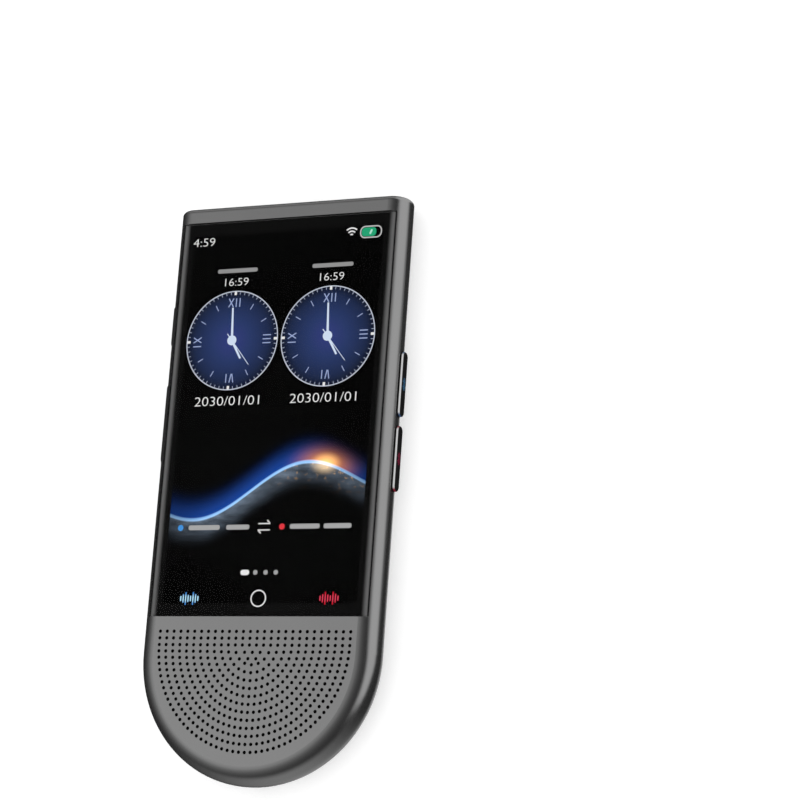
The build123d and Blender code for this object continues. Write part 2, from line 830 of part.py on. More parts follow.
yoke_low_z = speaker_low_z - yoke_drop
magnet_low_z = yoke_low_z + speaker_floor
with BuildPart() as speaker_yoke:
    with BuildSketch(speaker_plane):
        with BuildLine():
            Polyline(
                (0, yoke_low_z),
                (yoke_radius, yoke_low_z),
                (yoke_radius, magnet_low_z + magnet_height + pole_height / 2),
                (yoke_radius - yoke_wall, magnet_low_z + magnet_height + pole_height / 2),
                (yoke_radius - yoke_wall, magnet_low_z),
                (0, magnet_low_z),
                close=True,
            )
        make_face()
    revolve(axis=speaker_axis)

speaker_yoke.part.label = "speaker_yoke"
export_step(speaker_yoke.part, "parts/speaker_yoke.step")

with BuildPart() as speaker_magnet:
    with BuildSketch(Plane.XY.offset(magnet_low_z)):
        with Locations((0, speaker_y)):
            Circle(magnet_radius)
    extrude(amount=magnet_height)
    chamfer(speaker_magnet.edges().filter_by(GeomType.CIRCLE), magnet_chamfer)

speaker_magnet.part.label = "speaker_magnet"
export_step(speaker_magnet.part, "parts/speaker_magnet.step")

with BuildPart() as pole_plate:
    with BuildSketch(Plane.XY.offset(magnet_low_z + magnet_height)):
        with Locations((0, speaker_y)):
            Circle(magnet_radius)
    extrude(amount=pole_height)

pole_plate.part.label = "pole_plate"
export_step(pole_plate.part, "parts/pole_plate.step")

coil_low_z = magnet_low_z + magnet_height - coil_overlap
coil_top_z = rim_seat_z - coil_drop
with BuildPart() as voice_coil:
    with BuildSketch(Plane.XY.offset(coil_low_z)):
        with Locations((0, speaker_y)):
            Circle(coil_radius)
            Circle(coil_radius - coil_wall, mode=Mode.SUBTRACT)
    extrude(amount=coil_top_z - coil_low_z)

voice_coil.part.label = "voice_coil"
export_step(voice_coil.part, "parts/voice_coil.step")

# Diaphragm: a dome over the coil, a shallow cone and a rolled surround
roll_edge_r = frame_bore - roll_inset
cone_edge_r = roll_edge_r - roll_width
rim_edge_r = frame_bore + speaker_wall / 2 - panel_gap
with BuildPart() as speaker_diaphragm:
    with BuildSketch(speaker_plane):
        with BuildLine():
            for level in (0, membrane):
                TangentArc(
                    (0, coil_top_z + dome_rise + level),
                    (coil_radius, coil_top_z + level),
                    tangent=(1, 0),
                )
                Line((coil_radius, coil_top_z + level), (cone_edge_r, rim_seat_z + level))
                ThreePointArc(
                    (cone_edge_r, rim_seat_z + level),
                    ((cone_edge_r + roll_edge_r) / 2, rim_seat_z + roll_rise + level),
                    (roll_edge_r, rim_seat_z + level),
                )
                Line((roll_edge_r, rim_seat_z + level), (rim_edge_r, rim_seat_z + level))
            Line((rim_edge_r, rim_seat_z), (rim_edge_r, rim_seat_z + membrane))
            Line((0, coil_top_z + dome_rise), (0, coil_top_z + dome_rise + membrane))
        make_face()
    revolve(axis=speaker_axis)

speaker_diaphragm.part.label = "speaker_diaphragm"
export_step(speaker_diaphragm.part, "parts/speaker_diaphragm.step")

with BuildPart() as speaker_gasket:
    with BuildSketch(Plane.XY.offset(speaker_top_z)):
        with Locations((0, speaker_y)):
            Circle(speaker_radius)
            Circle(frame_bore + speaker_wall / 2, mode=Mode.SUBTRACT)
    extrude(amount=mesh_low_z - speaker_top_z)

speaker_gasket.part.label = "speaker_gasket"
export_step(speaker_gasket.part, "parts/speaker_gasket.step")

# ---------------------------------------------------------------- board and what it carries
camera_places = [(0, camera_y - lens_pitch / 2), (0, camera_y + lens_pitch / 2)]
camera_cutout = camera_width + 2 * camera_gap

with BuildPart() as main_board:
    with BuildSketch(Plane.XY.offset(board_low_z)):
        with Locations((0, (board_low_y + board_top_y) / 2)):
            RectangleRounded(2 * board_half, board_length, board_corner)
        with Locations(camera_places):
            Rectangle(camera_cutout, camera_cutout, mode=Mode.SUBTRACT)
        with Locations((0, top_y - usb_setback - usb_length / 2)):
            Rectangle(usb_width + 2 * usb_board_gap, usb_length + 2 * usb_board_gap, mode=Mode.SUBTRACT)
        with Locations(board_screw_places()):
            Circle(screw_radius + screw_gap, mode=Mode.SUBTRACT)
    extrude(amount=board_thickness)

main_board.part.label = "main_board"
export_step(main_board.part, "parts/main_board.step")

shield_low_y = board_low_y + shield_board_gap
shield_high_y = camera_y - shield_camera_gap
shield_y = (shield_low_y + shield_high_y) / 2
shield_length = shield_high_y - shield_low_y
shield_inner_x = camera_cutout / 2 + shield_lens_gap
shield_width = board_half - shield_side_gap - shield_inner_x
shield_x = shield_inner_x + shield_width / 2

for shield_name, shield_side in (("processor_shield", -1), ("radio_shield", 1)):
    with BuildPart() as shield:
        with BuildSketch(Plane.XY.offset(board_low_z)):
            with Locations((shield_side * shield_x, shield_y)):
                RectangleRounded(shield_width, shield_length, shield_corner)
        extrude(amount=-shield_height)
        with BuildSketch(Plane.XY.offset(board_low_z)):
            with Locations((shield_side * shield_x, shield_y)):
                RectangleRounded(
                    shield_width - 2 * shield_wall,
                    shield_length - 2 * shield_wall,
                    shield_corner - shield_wall,
                )
        extrude(amount=shield_wall - shield_height, mode=Mode.SUBTRACT)
    shield.part.label = shield_name
    export_step(shield.part, f"parts/{shield_name}.step")

chip_sizes = {
    "processor_chip": (-1, shield_low_y + 5.5, 11.0, 10.0, 0.9),
    "memory_chip": (-1, shield_high_y - 4.8, 11.5, 8.2, 0.8),
    "radio_chip": (1, shield_y - 2.0, 9.0, 9.0, 0.9),
}
for chip_name, (chip_side, chip_y, chip_width, chip_length, chip_height) in chip_sizes.items():
    with BuildPart() as chip:
        with BuildSketch(Plane.XY.offset(board_low_z)):
            with Locations((chip_side * shield_x, chip_y)):
                Rectangle(chip_width, chip_length)
        extrude(amount=-chip_height)
        chamfer(chip.faces().sort_by(Axis.Z)[0].edges(), chip_chamfer)
    chip.part.label = chip_name
    export_step(chip.part, f"parts/{chip_name}.step")

with BuildPart() as battery_cell:
    with BuildSketch(Plane.XY.offset(battery_low_z)):
        with Locations((0, (battery_low_y + battery_top_y) / 2)):
            Rectangle(2 * battery_half, battery_length)
    extrude(amount=battery_top_z - battery_low_z)
    fillet(battery_cell.edges().filter_by(Axis.Y), battery_round)

battery_cell.part.label = "battery_cell"
export_step(battery_cell.part, "parts/battery_cell.step")

# Protection board across the battery's top edge, with its lead to the main board
with BuildPart() as battery_protection:
    with BuildSketch(Plane.XY.offset(board_low_z)):
        with Locations((0, battery_top_y + protection_length / 2)):
            Rectangle(protection_width, protection_length)
    extrude(amount=board_thickness)
    with BuildSketch(Plane.XY.offset(board_low_z - flex_thickness)):
        with Locations((0, battery_top_y + protection_lead_length / 2)):
            Rectangle(protection_lead_width, protection_lead_length)
    extrude(amount=flex_thickness)

battery_protection.part.label = "battery_protection"
export_step(battery_protection.part, "parts/battery_protection.step")

with BuildPart() as battery_adhesive:
    with BuildSketch(Plane.XY.offset(battery_top_z)):
        with Locations((0, (battery_low_y + battery_top_y) / 2)):
            with GridLocations(battery_half, 0, 2, 1):
                Rectangle(battery_half / 2, battery_length - 2 * battery_end_margin)
    extrude(amount=glue_thickness)

battery_adhesive.part.label = "battery_adhesive"
export_step(battery_adhesive.part, "parts/battery_adhesive.step")

with BuildPart() as vibration_motor:
    with BuildSketch(Plane.XY.offset(frame_low_z)):
        with Locations((motor_x, glass_bottom_y - motor_drop)):
            Circle(motor_radius)
    extrude(amount=-motor_height)
    chamfer(vibration_motor.faces().sort_by(Axis.Z)[0].edges(), motor_chamfer)

vibration_motor.part.label = "vibration_motor"
export_step(vibration_motor.part, "parts/vibration_motor.step")

with BuildPart() as antenna_cellular:
    with BuildSketch(Plane.XY.offset(frame_low_z - antenna_thickness)):
        with BuildLine():
            outer_radius = half_width - antenna_inset
            inner_radius = outer_radius - antenna_band
            outer_arc = CenterArc((0, arc_y), outer_radius, antenna_start, antenna_sweep)
            inner_arc = CenterArc((0, arc_y), inner_radius, antenna_start, antenna_sweep)
            Line(outer_arc @ 0, inner_arc @ 0)
            Line(outer_arc @ 1, inner_arc @ 1)
        make_face()
    extrude(amount=antenna_thickness)

antenna_cellular.part.label = "antenna_cellular"
export_step(antenna_cellular.part, "parts/antenna_cellular.step")

with BuildPart() as antenna_wifi:
    with BuildSketch(Plane.XY.offset(cavity_low_z)):
        with Locations((wifi_side_gap + wifi_width / 2 - bay_half, camera_y + wifi_camera_offset)):
            RectangleRounded(wifi_width, wifi_length, wifi_corner)
    extrude(amount=antenna_thickness)

antenna_wifi.part.label = "antenna_wifi"
export_step(antenna_wifi.part, "parts/antenna_wifi.step")

with BuildPart() as microphone_top:
    with BuildSketch(Plane.XY.offset(board_low_z)):
        with Locations((microphone_x, board_top_y - microphone_inset)):
            Rectangle(microphone_width, microphone_length)
    extrude(amount=-microphone_height)
    chamfer(microphone_top.faces().sort_by(Axis.Z)[0].edges(), chip_chamfer)

microphone_top.part.label = "microphone_top"
export_step(microphone_top.part, "parts/microphone_top.step")

low_microphone_place = (low_microphone_x, glass_bottom_y - low_microphone_drop)
with BuildPart() as microphone_bottom:
    with BuildSketch(Plane.XY.offset(frame_top_z)):
        with Locations(low_microphone_place):
            Rectangle(microphone_width, microphone_length)
    extrude(amount=microphone_height)
    with BuildSketch(Plane.XY.offset(frame_top_z + microphone_height)):
        with Locations(low_microphone_place):
            Circle(microphone_port_radius)
    extrude(amount=-microphone_port_depth, mode=Mode.SUBTRACT)

microphone_bottom.part.label = "microphone_bottom"
export_step(microphone_bottom.part, "parts/microphone_bottom.step")

with BuildPart() as microphone_boot:
    with BuildSketch(Plane.XY.offset(frame_top_z + microphone_height)):
        with Locations(low_microphone_place):
            Circle(boot_radius)
            Circle(boot_bore_radius, mode=Mode.SUBTRACT)
    extrude(amount=mesh_low_z - frame_top_z - microphone_height)

microphone_boot.part.label = "microphone_boot"
export_step(microphone_boot.part, "parts/microphone_boot.step")

# ---------------------------------------------------------------- top end
usb_front_y = top_y - usb_setback
with BuildPart() as usb_shell:
    with BuildSketch(Plane.XZ.offset(-usb_front_y)):
        with Locations((0, board_mid_z)):
            SlotOverall(usb_width, usb_height)
            SlotOverall(usb_width - 2 * usb_wall, usb_height - 2 * usb_wall, mode=Mode.SUBTRACT)
    extrude(amount=usb_length)

usb_shell.part.label = "usb_shell"
export_step(usb_shell.part, "parts/usb_shell.step")

with BuildPart() as usb_tongue:
    with BuildSketch(Plane.XZ.offset(usb_length - usb_front_y)):
        with Locations((0, board_mid_z)):
            SlotOverall(usb_width - 2 * usb_wall, usb_height - 2 * usb_wall)
    extrude(amount=-usb_base)
    with BuildSketch(Plane.XZ.offset(usb_length - usb_front_y)):
        with Locations((0, board_mid_z)):
            Rectangle(tongue_width, tongue_height)
    extrude(amount=-(usb_base + tongue_length))

usb_tongue.part.label = "usb_tongue"
export_step(usb_tongue.part, "parts/usb_tongue.step")

sim_face_low_z = sim_z - sim_face_height / 2
sim_plate_low_z = sim_face_low_z + sim_plate_drop
with BuildPart() as sim_tray:
    with BuildSketch(Plane.XZ.offset(-cavity_top_y)):
        with Locations((sim_x, sim_z)):
            RectangleRounded(sim_face_width, sim_face_height, sim_face_corner)
    extrude(amount=-end_wall)
    with BuildSketch(Plane.XY.offset(sim_plate_low_z)):
        with Locations((sim_x, cavity_top_y - sim_plate_length / 2)):
            Rectangle(sim_plate_width, sim_plate_length)
        with Locations((sim_x, cavity_top_y - sim_plate_length + sim_card_margin + sim_card_length / 2)):
            Rectangle(sim_card_width, sim_card_length, mode=Mode.SUBTRACT)
    extrude(amount=sim_plate_thickness)
    # Fingernail notch in the face
    with BuildSketch(Plane.XZ.offset(-top_y)):
        with Locations((sim_x, sim_face_low_z + nail_notch_inset + nail_notch_height / 2)):
            Rectangle(nail_notch_width, nail_notch_height)
    extrude(amount=nail_notch_depth, mode=Mode.SUBTRACT)

sim_tray.part.label = "sim_tray"
export_step(sim_tray.part, "parts/sim_tray.step")

socket_low_z = sim_plate_low_z - sim_slide_gap - sim_socket_wall
socket_width = sim_plate_width + 2 * (sim_room + sim_socket_side)
socket_length = sim_plate_length + sim_end_room - board_end_gap
socket_mid_y = board_top_y - socket_length / 2
with BuildPart() as sim_socket:
    with BuildSketch(Plane.XY.offset(socket_low_z)):
        with Locations((sim_x, socket_mid_y)):
            Rectangle(socket_width, socket_length)
    extrude(amount=board_low_z - socket_low_z)
    with BuildSketch(Plane.XY.offset(socket_low_z + sim_socket_wall)):
        with Locations((sim_x, socket_mid_y + sim_socket_side)):
            Rectangle(socket_width - 2 * sim_socket_side, socket_length)
    extrude(amount=board_low_z - socket_low_z - 2 * sim_socket_wall, mode=Mode.SUBTRACT)

sim_socket.part.label = "sim_socket"
export_step(sim_socket.part, "parts/sim_socket.step")

# ---------------------------------------------------------------- cameras
with BuildPart() as camera_rim:
    with BuildSketch():
        with Locations((0, camera_y)):
            SlotOverall(bump_length, bump_width, rotation=90)
    extrude(amount=bump_height)
    chamfer(camera_rim.faces().sort_by(Axis.Z)[0].edges(), rim_chamfer)
    with BuildSketch(Plane.XY.offset(bump_height)):
        with Locations((0, camera_y)):
            SlotOverall(bump_length - 2 * rim_step, bump_width - 2 * rim_step, rotation=90)
    extrude(amount=rim_neck)
    with BuildSketch():
        with Locations((0, camera_y)):
            SlotOverall(bump_length - 2 * rim_width, bump_width - 2 * rim_width, rotation=90)
    extrude(amount=window_top_z, mode=Mode.SUBTRACT)
    with BuildSketch():
        with Locations((0, camera_y)):
            SlotOverall(
                bump_length - 2 * (rim_width + ledge_step),
                bump_width - 2 * (rim_width + ledge_step),
                rotation=90,
            )
    extrude(amount=bump_height + rim_neck, mode=Mode.SUBTRACT)

camera_rim.part.label = "camera_rim"
export_step(camera_rim.part, "parts/camera_rim.step")

window_length = bump_length - 2 * (rim_width + rim_gap)
window_width = bump_width - 2 * (rim_width + rim_gap)
with BuildPart() as camera_window:
    with BuildSketch(Plane.XY.offset(window_setback)):
        with Locations((0, camera_y)):
            SlotOverall(window_length, window_width, rotation=90)
    extrude(amount=window_thickness)

camera_window.part.label = "camera_window"
export_step(camera_window.part, "parts/camera_window.step")

with BuildPart() as camera_mask:
    with BuildSketch(Plane.XY.offset(window_setback + window_thickness)):
        with Locations((0, camera_y)):
            SlotOverall(window_length, window_width, rotation=90)
            Circle(flash_radius + flash_gap, mode=Mode.SUBTRACT)
        with Locations(camera_places):
            Circle(lens_hole_radius, mode=Mode.SUBTRACT)
    extrude(amount=mask_thickness)

camera_mask.part.label = "camera_mask"
export_step(camera_mask.part, "parts/camera_mask.step")

# Bevelled rings behind the mask's two lens holes
with BuildPart() as lens_rings:
    with BuildSketch(Plane.XY.offset(window_top_z)):
        with Locations(camera_places):
            Circle(lens_ring_outer)
            Circle(lens_ring_inner, mode=Mode.SUBTRACT)
    extrude(amount=lens_ring_height)
    ring_mouths = lens_rings.edges().filter_by(GeomType.CIRCLE).group_by(Axis.Z)[0]
    chamfer([edge for edge in ring_mouths if edge.radius < lens_ring_outer], lens_ring_bevel)

lens_rings.part.label = "lens_rings"
export_step(lens_rings.part, "parts/lens_rings.step")

for camera_name, (camera_x, camera_mid_y) in zip(("lower", "upper"), camera_places):
    lens_place = (camera_x, camera_mid_y)
    with BuildPart() as camera_body:
        with BuildSketch(Plane.XY.offset(camera_low_z)):
            with Locations(lens_place):
                RectangleRounded(camera_width, camera_width, camera_corner)
        extrude(amount=board_top_z - camera_low_z)
    camera_body.part.label = f"camera_body_{camera_name}"
    export_step(camera_body.part, f"parts/camera_body_{camera_name}.step")

    with BuildPart() as camera_barrel:
        with BuildSketch(Plane.XY.offset(camera_low_z)):
            with Locations(lens_place):
                Circle(barrel_radius)
        extrude(amount=-barrel_height)
        with BuildSketch(Plane.XY.offset(camera_low_z)):
            with Locations(lens_place):
                Circle(lens_radius)
        extrude(amount=-barrel_height, mode=Mode.SUBTRACT)
        mouths = camera_barrel.edges().filter_by(GeomType.CIRCLE).group_by(Axis.Z)[0]
        chamfer([edge for edge in mouths if edge.radius < barrel_radius], barrel_bevel)
    camera_barrel.part.label = f"camera_barrel_{camera_name}"
    export_step(camera_barrel.part, f"parts/camera_barrel_{camera_name}.step")

    lens_edge_r = lens_radius - lens_gap
    with BuildPart() as camera_lens:
        lens_edge_z = camera_low_z - barrel_height + lens_setback
        with BuildSketch(Plane.XZ.offset(-camera_mid_y)):
            with BuildLine():
                crown = TangentArc(
                    (0, lens_edge_z - lens_crown),
                    (lens_edge_r, lens_edge_z),
                    tangent=(1, 0),
                )
                Line(crown @ 1, (lens_edge_r, camera_low_z))
                Line((lens_edge_r, camera_low_z), (0, camera_low_z))
                Line((0, camera_low_z), crown @ 0)
            make_face()
        revolve(axis=Axis((0, camera_mid_y, 0), (0, 0, 1)))
    camera_lens.part.label = f"camera_lens_{camera_name}"
    export_step(camera_lens.part, f"parts/camera_lens_{camera_name}.step")

with BuildPart() as camera_flexes:
    with BuildSketch(Plane.XY.offset(board_top_z)):
        for camera_x, camera_mid_y in camera_places:
            with Locations((camera_flex_length / 2, camera_mid_y)):
                Rectangle(camera_flex_length, camera_flex_width)
    extrude(amount=flex_thickness)

camera_flexes.part.label = "camera_flexes"
export_step(camera_flexes.part, "parts/camera_flexes.step")

flash_low_z = window_setback + window_thickness
package_low_z = flash_low_z + flash_height + led_height
with BuildPart() as flash_lens:
    with BuildSketch(Plane.XY.offset(flash_low_z)):
        with Locations((0, camera_y)):
            Circle(flash_radius)
    extrude(amount=flash_height)

flash_lens.part.label = "flash_lens"
export_step(flash_lens.part, "parts/flash_lens.step")

with BuildPart() as flash_led:
    with BuildSketch(Plane.XY.offset(flash_low_z + flash_height)):
        with Locations((0, camera_y)):
            Rectangle(led_width, led_width)
    extrude(amount=led_height)
    with BuildSketch(Plane.XY.offset(package_low_z)):
        with Locations((0, camera_y)):
            Rectangle(led_package_width, led_package_width)
    extrude(amount=board_low_z - package_low_z)

flash_led.part.label = "flash_led"
export_step(flash_led.part, "parts/flash_led.step")

# ---------------------------------------------------------------- side keys
switch_z = frame_top_z - switch_drop - switch_height / 2
plunger_x = bay_half + bracket_thickness + switch_thickness + plunger_height
post_x = plunger_x + key_travel + switch_gap


def side_key(side, middle, length, flange_length, rest_gap, post_offsets):
    """A key cap that passes through the wall, its flange inside and a post to each switch."""
    flange_outer_x = cavity_half - rest_gap
    flange_inner_x = flange_outer_x - key_flange
    with BuildPart() as key:
        with BuildSketch(Plane.YZ.offset(side * flange_inner_x)):
            with Locations((middle, key_z)):
                RectangleRounded(length, key_height, key_corner)
        extrude(amount=side * (key_face_x - flange_inner_x))
        face = key.faces().sort_by(Axis.X)[-1 if side > 0 else 0]
        fillet(face.edges(), key_edge_round)
        with BuildSketch(Plane.YZ.offset(side * flange_inner_x)):
            with Locations((middle, key_z)):
                Rectangle(flange_length, key_height + 2 * key_flange_rise)
        extrude(amount=side * key_flange)
        with BuildSketch(Plane.YZ.offset(side * post_x)):
            for post_offset in post_offsets:
                with Locations((middle + post_offset, switch_z)):
                    Circle(key_post_radius)
        extrude(amount=side * (flange_inner_x - post_x + root_lap))
    return key.part


long_flange = translate_key_length + 2 * key_flange_lap
power_flange = power_key_length + 2 * key_flange_lap
rocker_posts = (-rocker_post_offset, rocker_post_offset)
key_designs = {
    "blue_key": (1, blue_key_y, translate_key_length, long_flange, key_rest_gap, (0,)),
    "red_key": (1, red_key_y, translate_key_length, long_flange, key_rest_gap, (0,)),
    "power_key": (-1, power_key_y, power_key_length, power_flange, key_rest_gap, (0,)),
    "volume_key": (-1, volume_key_y, volume_key_length, rocker_flange_length, rocker_rest_gap, rocker_posts),
}
for key_name, design in key_designs.items():
    with BuildPart() as moving_key:
        add(side_key(*design))
    moving_key.part.label = key_name
    export_step(moving_key.part, f"parts/{key_name}.step")

switch_places = {
    "right": (1, [blue_key_y, red_key_y]),
    "left": (-1, [power_key_y, volume_key_y - rocker_post_offset, volume_key_y + rocker_post_offset]),
}
for side_name, (switch_side, switch_ys) in switch_places.items():
    bracket_low_y = min(switch_ys) - switch_length / 2 - bracket_overhang
    bracket_high_y = max(switch_ys) + switch_length / 2 + bracket_overhang
    with BuildPart() as switch_bracket:
        with BuildSketch(Plane.YZ.offset(switch_side * bay_half)):
            with Locations(((bracket_low_y + bracket_high_y) / 2, frame_top_z - bracket_height / 2)):
                Rectangle(bracket_high_y - bracket_low_y, bracket_height)
        extrude(amount=switch_side * bracket_thickness)
        if side_name == "left":
            # Fulcrum that the volume key rocks on
            fulcrum_x = cavity_half - rocker_rest_gap - key_flange - switch_gap
            with BuildSketch(Plane.YZ.offset(switch_side * bay_half)):
                with Locations((volume_key_y, switch_z)):
                    Rectangle(fulcrum_width, fulcrum_height)
            extrude(amount=switch_side * (fulcrum_x - bay_half))
    switch_bracket.part.label = f"switch_bracket_{side_name}"
    export_step(switch_bracket.part, f"parts/switch_bracket_{side_name}.step")

    switch_x = bay_half + bracket_thickness
    with BuildPart() as tact_switches:
        with BuildSketch(Plane.YZ.offset(switch_side * switch_x)):
            for switch_y in switch_ys:
                with Locations((switch_y, switch_z)):
                    Rectangle(switch_length, switch_height)
        extrude(amount=switch_side * switch_thickness)
        with BuildSketch(Plane.YZ.offset(switch_side * (switch_x + switch_thickness))):
            for switch_y in switch_ys:
                with Locations((switch_y, switch_z)):
                    Circle(plunger_radius)
        extrude(amount=switch_side * plunger_height)
    tact_switches.part.label = f"tact_switches_{side_name}"
    export_step(tact_switches.part, f"parts/tact_switches_{side_name}.step")
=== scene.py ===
import math
from math import cos, pi, radians

import bpy
from mathutils import Matrix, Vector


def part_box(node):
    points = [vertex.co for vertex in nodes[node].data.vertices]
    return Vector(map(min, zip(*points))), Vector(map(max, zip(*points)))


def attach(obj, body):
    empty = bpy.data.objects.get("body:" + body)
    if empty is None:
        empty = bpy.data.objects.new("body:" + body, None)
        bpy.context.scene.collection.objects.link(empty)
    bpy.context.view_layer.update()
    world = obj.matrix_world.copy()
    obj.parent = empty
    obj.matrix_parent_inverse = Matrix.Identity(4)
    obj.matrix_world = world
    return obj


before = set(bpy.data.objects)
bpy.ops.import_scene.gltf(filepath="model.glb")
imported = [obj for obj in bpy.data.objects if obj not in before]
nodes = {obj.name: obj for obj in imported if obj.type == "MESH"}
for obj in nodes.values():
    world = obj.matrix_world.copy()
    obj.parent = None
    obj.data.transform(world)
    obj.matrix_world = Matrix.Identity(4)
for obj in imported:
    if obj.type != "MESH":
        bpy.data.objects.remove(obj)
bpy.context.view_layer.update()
bpy.ops.object.select_all(action="DESELECT")

MM = 0.001


def box(name):
    """A node's lowest and highest corners, in millimetres."""
    return [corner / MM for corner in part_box(name)]


def middle(name):
    """The middle of a node's box, in millimetres."""
    low, high = box(name)
    return (low + high) / 2


# ------------------------------------------------------------------ the view
CAMERA_PLACE = (0.27424, -0.11537, 0.53053)  # metres
CAMERA_TURN = (14.9744, 23.9856, 4.2420)  # degrees about X, then Y, then Z
CAMERA_LENS = 117.0  # millimetres
FLOOR_SIZE = 40.0  # metres
FLOOR_DROP = 0.02  # millimetres under the camera rim, so that the two faces don't flicker

# How bright a shiny surface sees each soft box, 1 being white
OVERHEAD_LIGHT = 1.08
SIDE_LIGHT = 0.95
FRONT_LIGHT = 0.46
BEHIND_LIGHT = 0.5
GROUND_LIGHT = 0.66
ROOM_LIGHT = 0.035
EVEN_LIGHT = 0.9  # what a matt surface gets from all round

# ------------------------------------------------------------------ places, millimetres
GLASS_LOW, GLASS_HIGH = box("front_glass")
GLASS_EDGE = 0.12  # the printing stops this far inside the glass's edge
BORDER_REFLECTION = (2.0, 0.7)  # a painted reflection of the glass's curved edge: the border turns grey between these distances from the glass's edge
BORDER_RIM = (0.2, 0.6)  # and is black again at the edge itself
LIT_WIDTH, LIT_LENGTH = 49.8, 88.6  # of the panel's lit area
LIT_Y = middle("front_glass").y

SHEET = 0.014  # thickness of the printing and of each mark of the picture
LAYER = 0.016  # from one layer of marks up to the next
PRINT_LEVEL = GLASS_LOW.z + 0.006
DIAL_LEVEL = PRINT_LEVEL + 0.018
MARK_LEVEL = DIAL_LEVEL + LAYER
HAND_LEVEL = MARK_LEVEL + LAYER
HUB_LEVEL = HAND_LEVEL + LAYER
RASTER = 12.5  # dots of the lit panel to the millimetre

# Sizes in brackets are a width and a length, or a height where it is writing
STATUS_Y = 60.0
STATUS_TIME_X = -22.2
STATUS_TIME = (5.8, 2.0)
SIGNAL_X, SIGNAL_Y = 16.75, 59.2
SIGNAL_ARCS = (0.62, 1.38, 2.15)  # outer radii
SIGNAL_STROKE = 0.34
BATTERY_X, CHARGE_X = 21.7, 21.2
BATTERY_CASE = (5.6, 3.0)
BATTERY_WALL = 0.30
CHARGE = (3.7, 2.1)
CHARGE_BOLT = (0.5, 1.2)

PLACE_NAME_Y, PLACE_TIME_Y, DATE_Y = 52.5, 49.7, 20.75
PLACE_NAME, PLACE_TIME, DATE = (10.6, 1.0), (6.2, 1.85), (17.0, 2.2)
DIAL_X, DIAL_Y = 12.5, 35.4
DIAL_RADIUS = 12.1
DIAL_RIM = 0.24
MINUTE_TICK, QUARTER_TICK, HOUR_STROKE = (0.16, 0.62), (0.62, 0.85), (0.20, 1.5)
MINUTE_INSET, QUARTER_INSET = 0.60, 0.62  # from the dial's edge to the middle of the tick
HUB_RADIUS = 1.2
HANDS = {  # turn in degrees, reach, tail, width at the root and at the tip
    "minute_hand": (-3.2, 8.0, 0.0, 0.62, 0.42),
    "hour_hand": (150.0, 5.2, 0.0, 0.62, 0.45),
    "second_hand": (141.0, 7.8, 2.1, 0.22, 0.14),
}
NUMERAL_REACH, NUMERAL_HEIGHT, NUMERAL_STROKE = 9.2, 2.1, 0.26
ROMAN = {  # clockwise from twelve; each stroke's place along the line and its slant
    "XII": ((-1.0, 0.55), (-1.0, -0.55), (0.35, 0.0), (1.3, 0.0)),
    "III": ((-0.95, 0.0), (0.0, 0.0), (0.95, 0.0)),
    "VI": ((-0.95, 0.2), (-0.35, -0.2), (0.75, 0.0)),
    "IX": ((-1.15, 0.0), (0.4, 0.55), (0.4, -0.55)),
}

# The ribbon of light: a wave on a slope, with a warm place on its crest
RIBBON_SWING = 5.2
RIBBON_TURN = 0.118  # radians of the wave to the millimetre
RIBBON_START = 0.5  # radians, in the middle of the screen
RIBBON_SLOPE = 0.10
RIBBON_Y = -0.5
WARM_X, WARM_Y = 14.5, 5.133
WARM_OVAL = 1.5  # how much wider than high the warm place is

LANGUAGE_Y = -9.4
LANGUAGE_BARS = ((-15.6, 8.2), (-6.8, 6.0), (10.4, 7.6), (18.7, 7.0))  # middle and width
LANGUAGE_HEIGHT = 1.15
BLUE_DOT_X, RED_DOT_X = -21.8, 4.6
LANGUAGE_DOT = 0.72
ARROW_SHAFT, ARROW_BARB, ARROW_STROKE = 3.1, 1.15, 0.28
PAGE_Y = -20.0
PAGE_HERE_X = -4.0
PAGE_HERE = (2.25, 1.25)
PAGE_DOTS_X = (-1.3, 1.35, 3.95)
PAGE_DOT = 0.56

BOTTOM_Y = -26.0
HOME_RADIUS, HOME_HOLE = 2.0, 1.7
VOICE_X = 17.9
VOICE_BARS = (1.2, 2.0, 3.0, 1.7, 1.3, 3.0, 2.1, 1.2)  # heights
VOICE_PITCH, VOICE_BAR, VOICE_CORNER = 0.64, 0.32, 0.14

KEY_LOW, KEY_HIGH = box("blue_key")
KEY_FACE_X = KEY_HIGH.x
KEY_Z = middle("blue_key").z
KEY_LAP = 0.9  # the hidden flange of a key reaches this far past each end of its face
KEY_HALF_LENGTH = (KEY_HIGH.y - KEY_LOW.y) / 2 - KEY_LAP
KEY_HIGHLIGHT_TOP = (0.06, 0.14)  # the painted highlight, a bright band, begins between these depths below the face
KEY_HIGHLIGHT_FOOT = (0.54, 0.44)  # and ends between these
KEY_HIGHLIGHT_ENDS = (1.0, 0.3)  # the painted highlight turns coloured between these distances from the key's ends
KEY_SIGN_SIZE = 0.58  # the painted sign's size, as a share of the one on the screen
KEY_SIGN_GAP = 0.002  # under the paint, so that it lies clear of the face

FLASH_LOW, FLASH_HIGH = box("flash_lens")
CAMERA_BUMP_Y = middle("flash_lens").y  # the flash sits in the middle of the camera bump
FLASH_RADIUS = FLASH_HIGH.x
FLASH_RIM = 0.3
FLASH_LEVEL = FLASH_LOW.z - 0.03  # inside the camera window, just below the flash's lens


# ------------------------------------------------------------------ shader graphs
def colour(red, green, blue):
    """A colour from the eight-bit values it has on a screen."""
    linear = []
    for part in (red, green, blue):
        level = part / 255.0
        if level > 0.04045:
            linear.append(((level + 0.055) / 1.055) ** 2.4)
        else:
            linear.append(level / 12.92)
    return (*linear, 1.0)


def grey(level):
    return colour(level, level, level)


def darker(shade, share):
    """The colour with only that share of its light."""
    return (*(part * share for part in shade[:3]), 1.0)


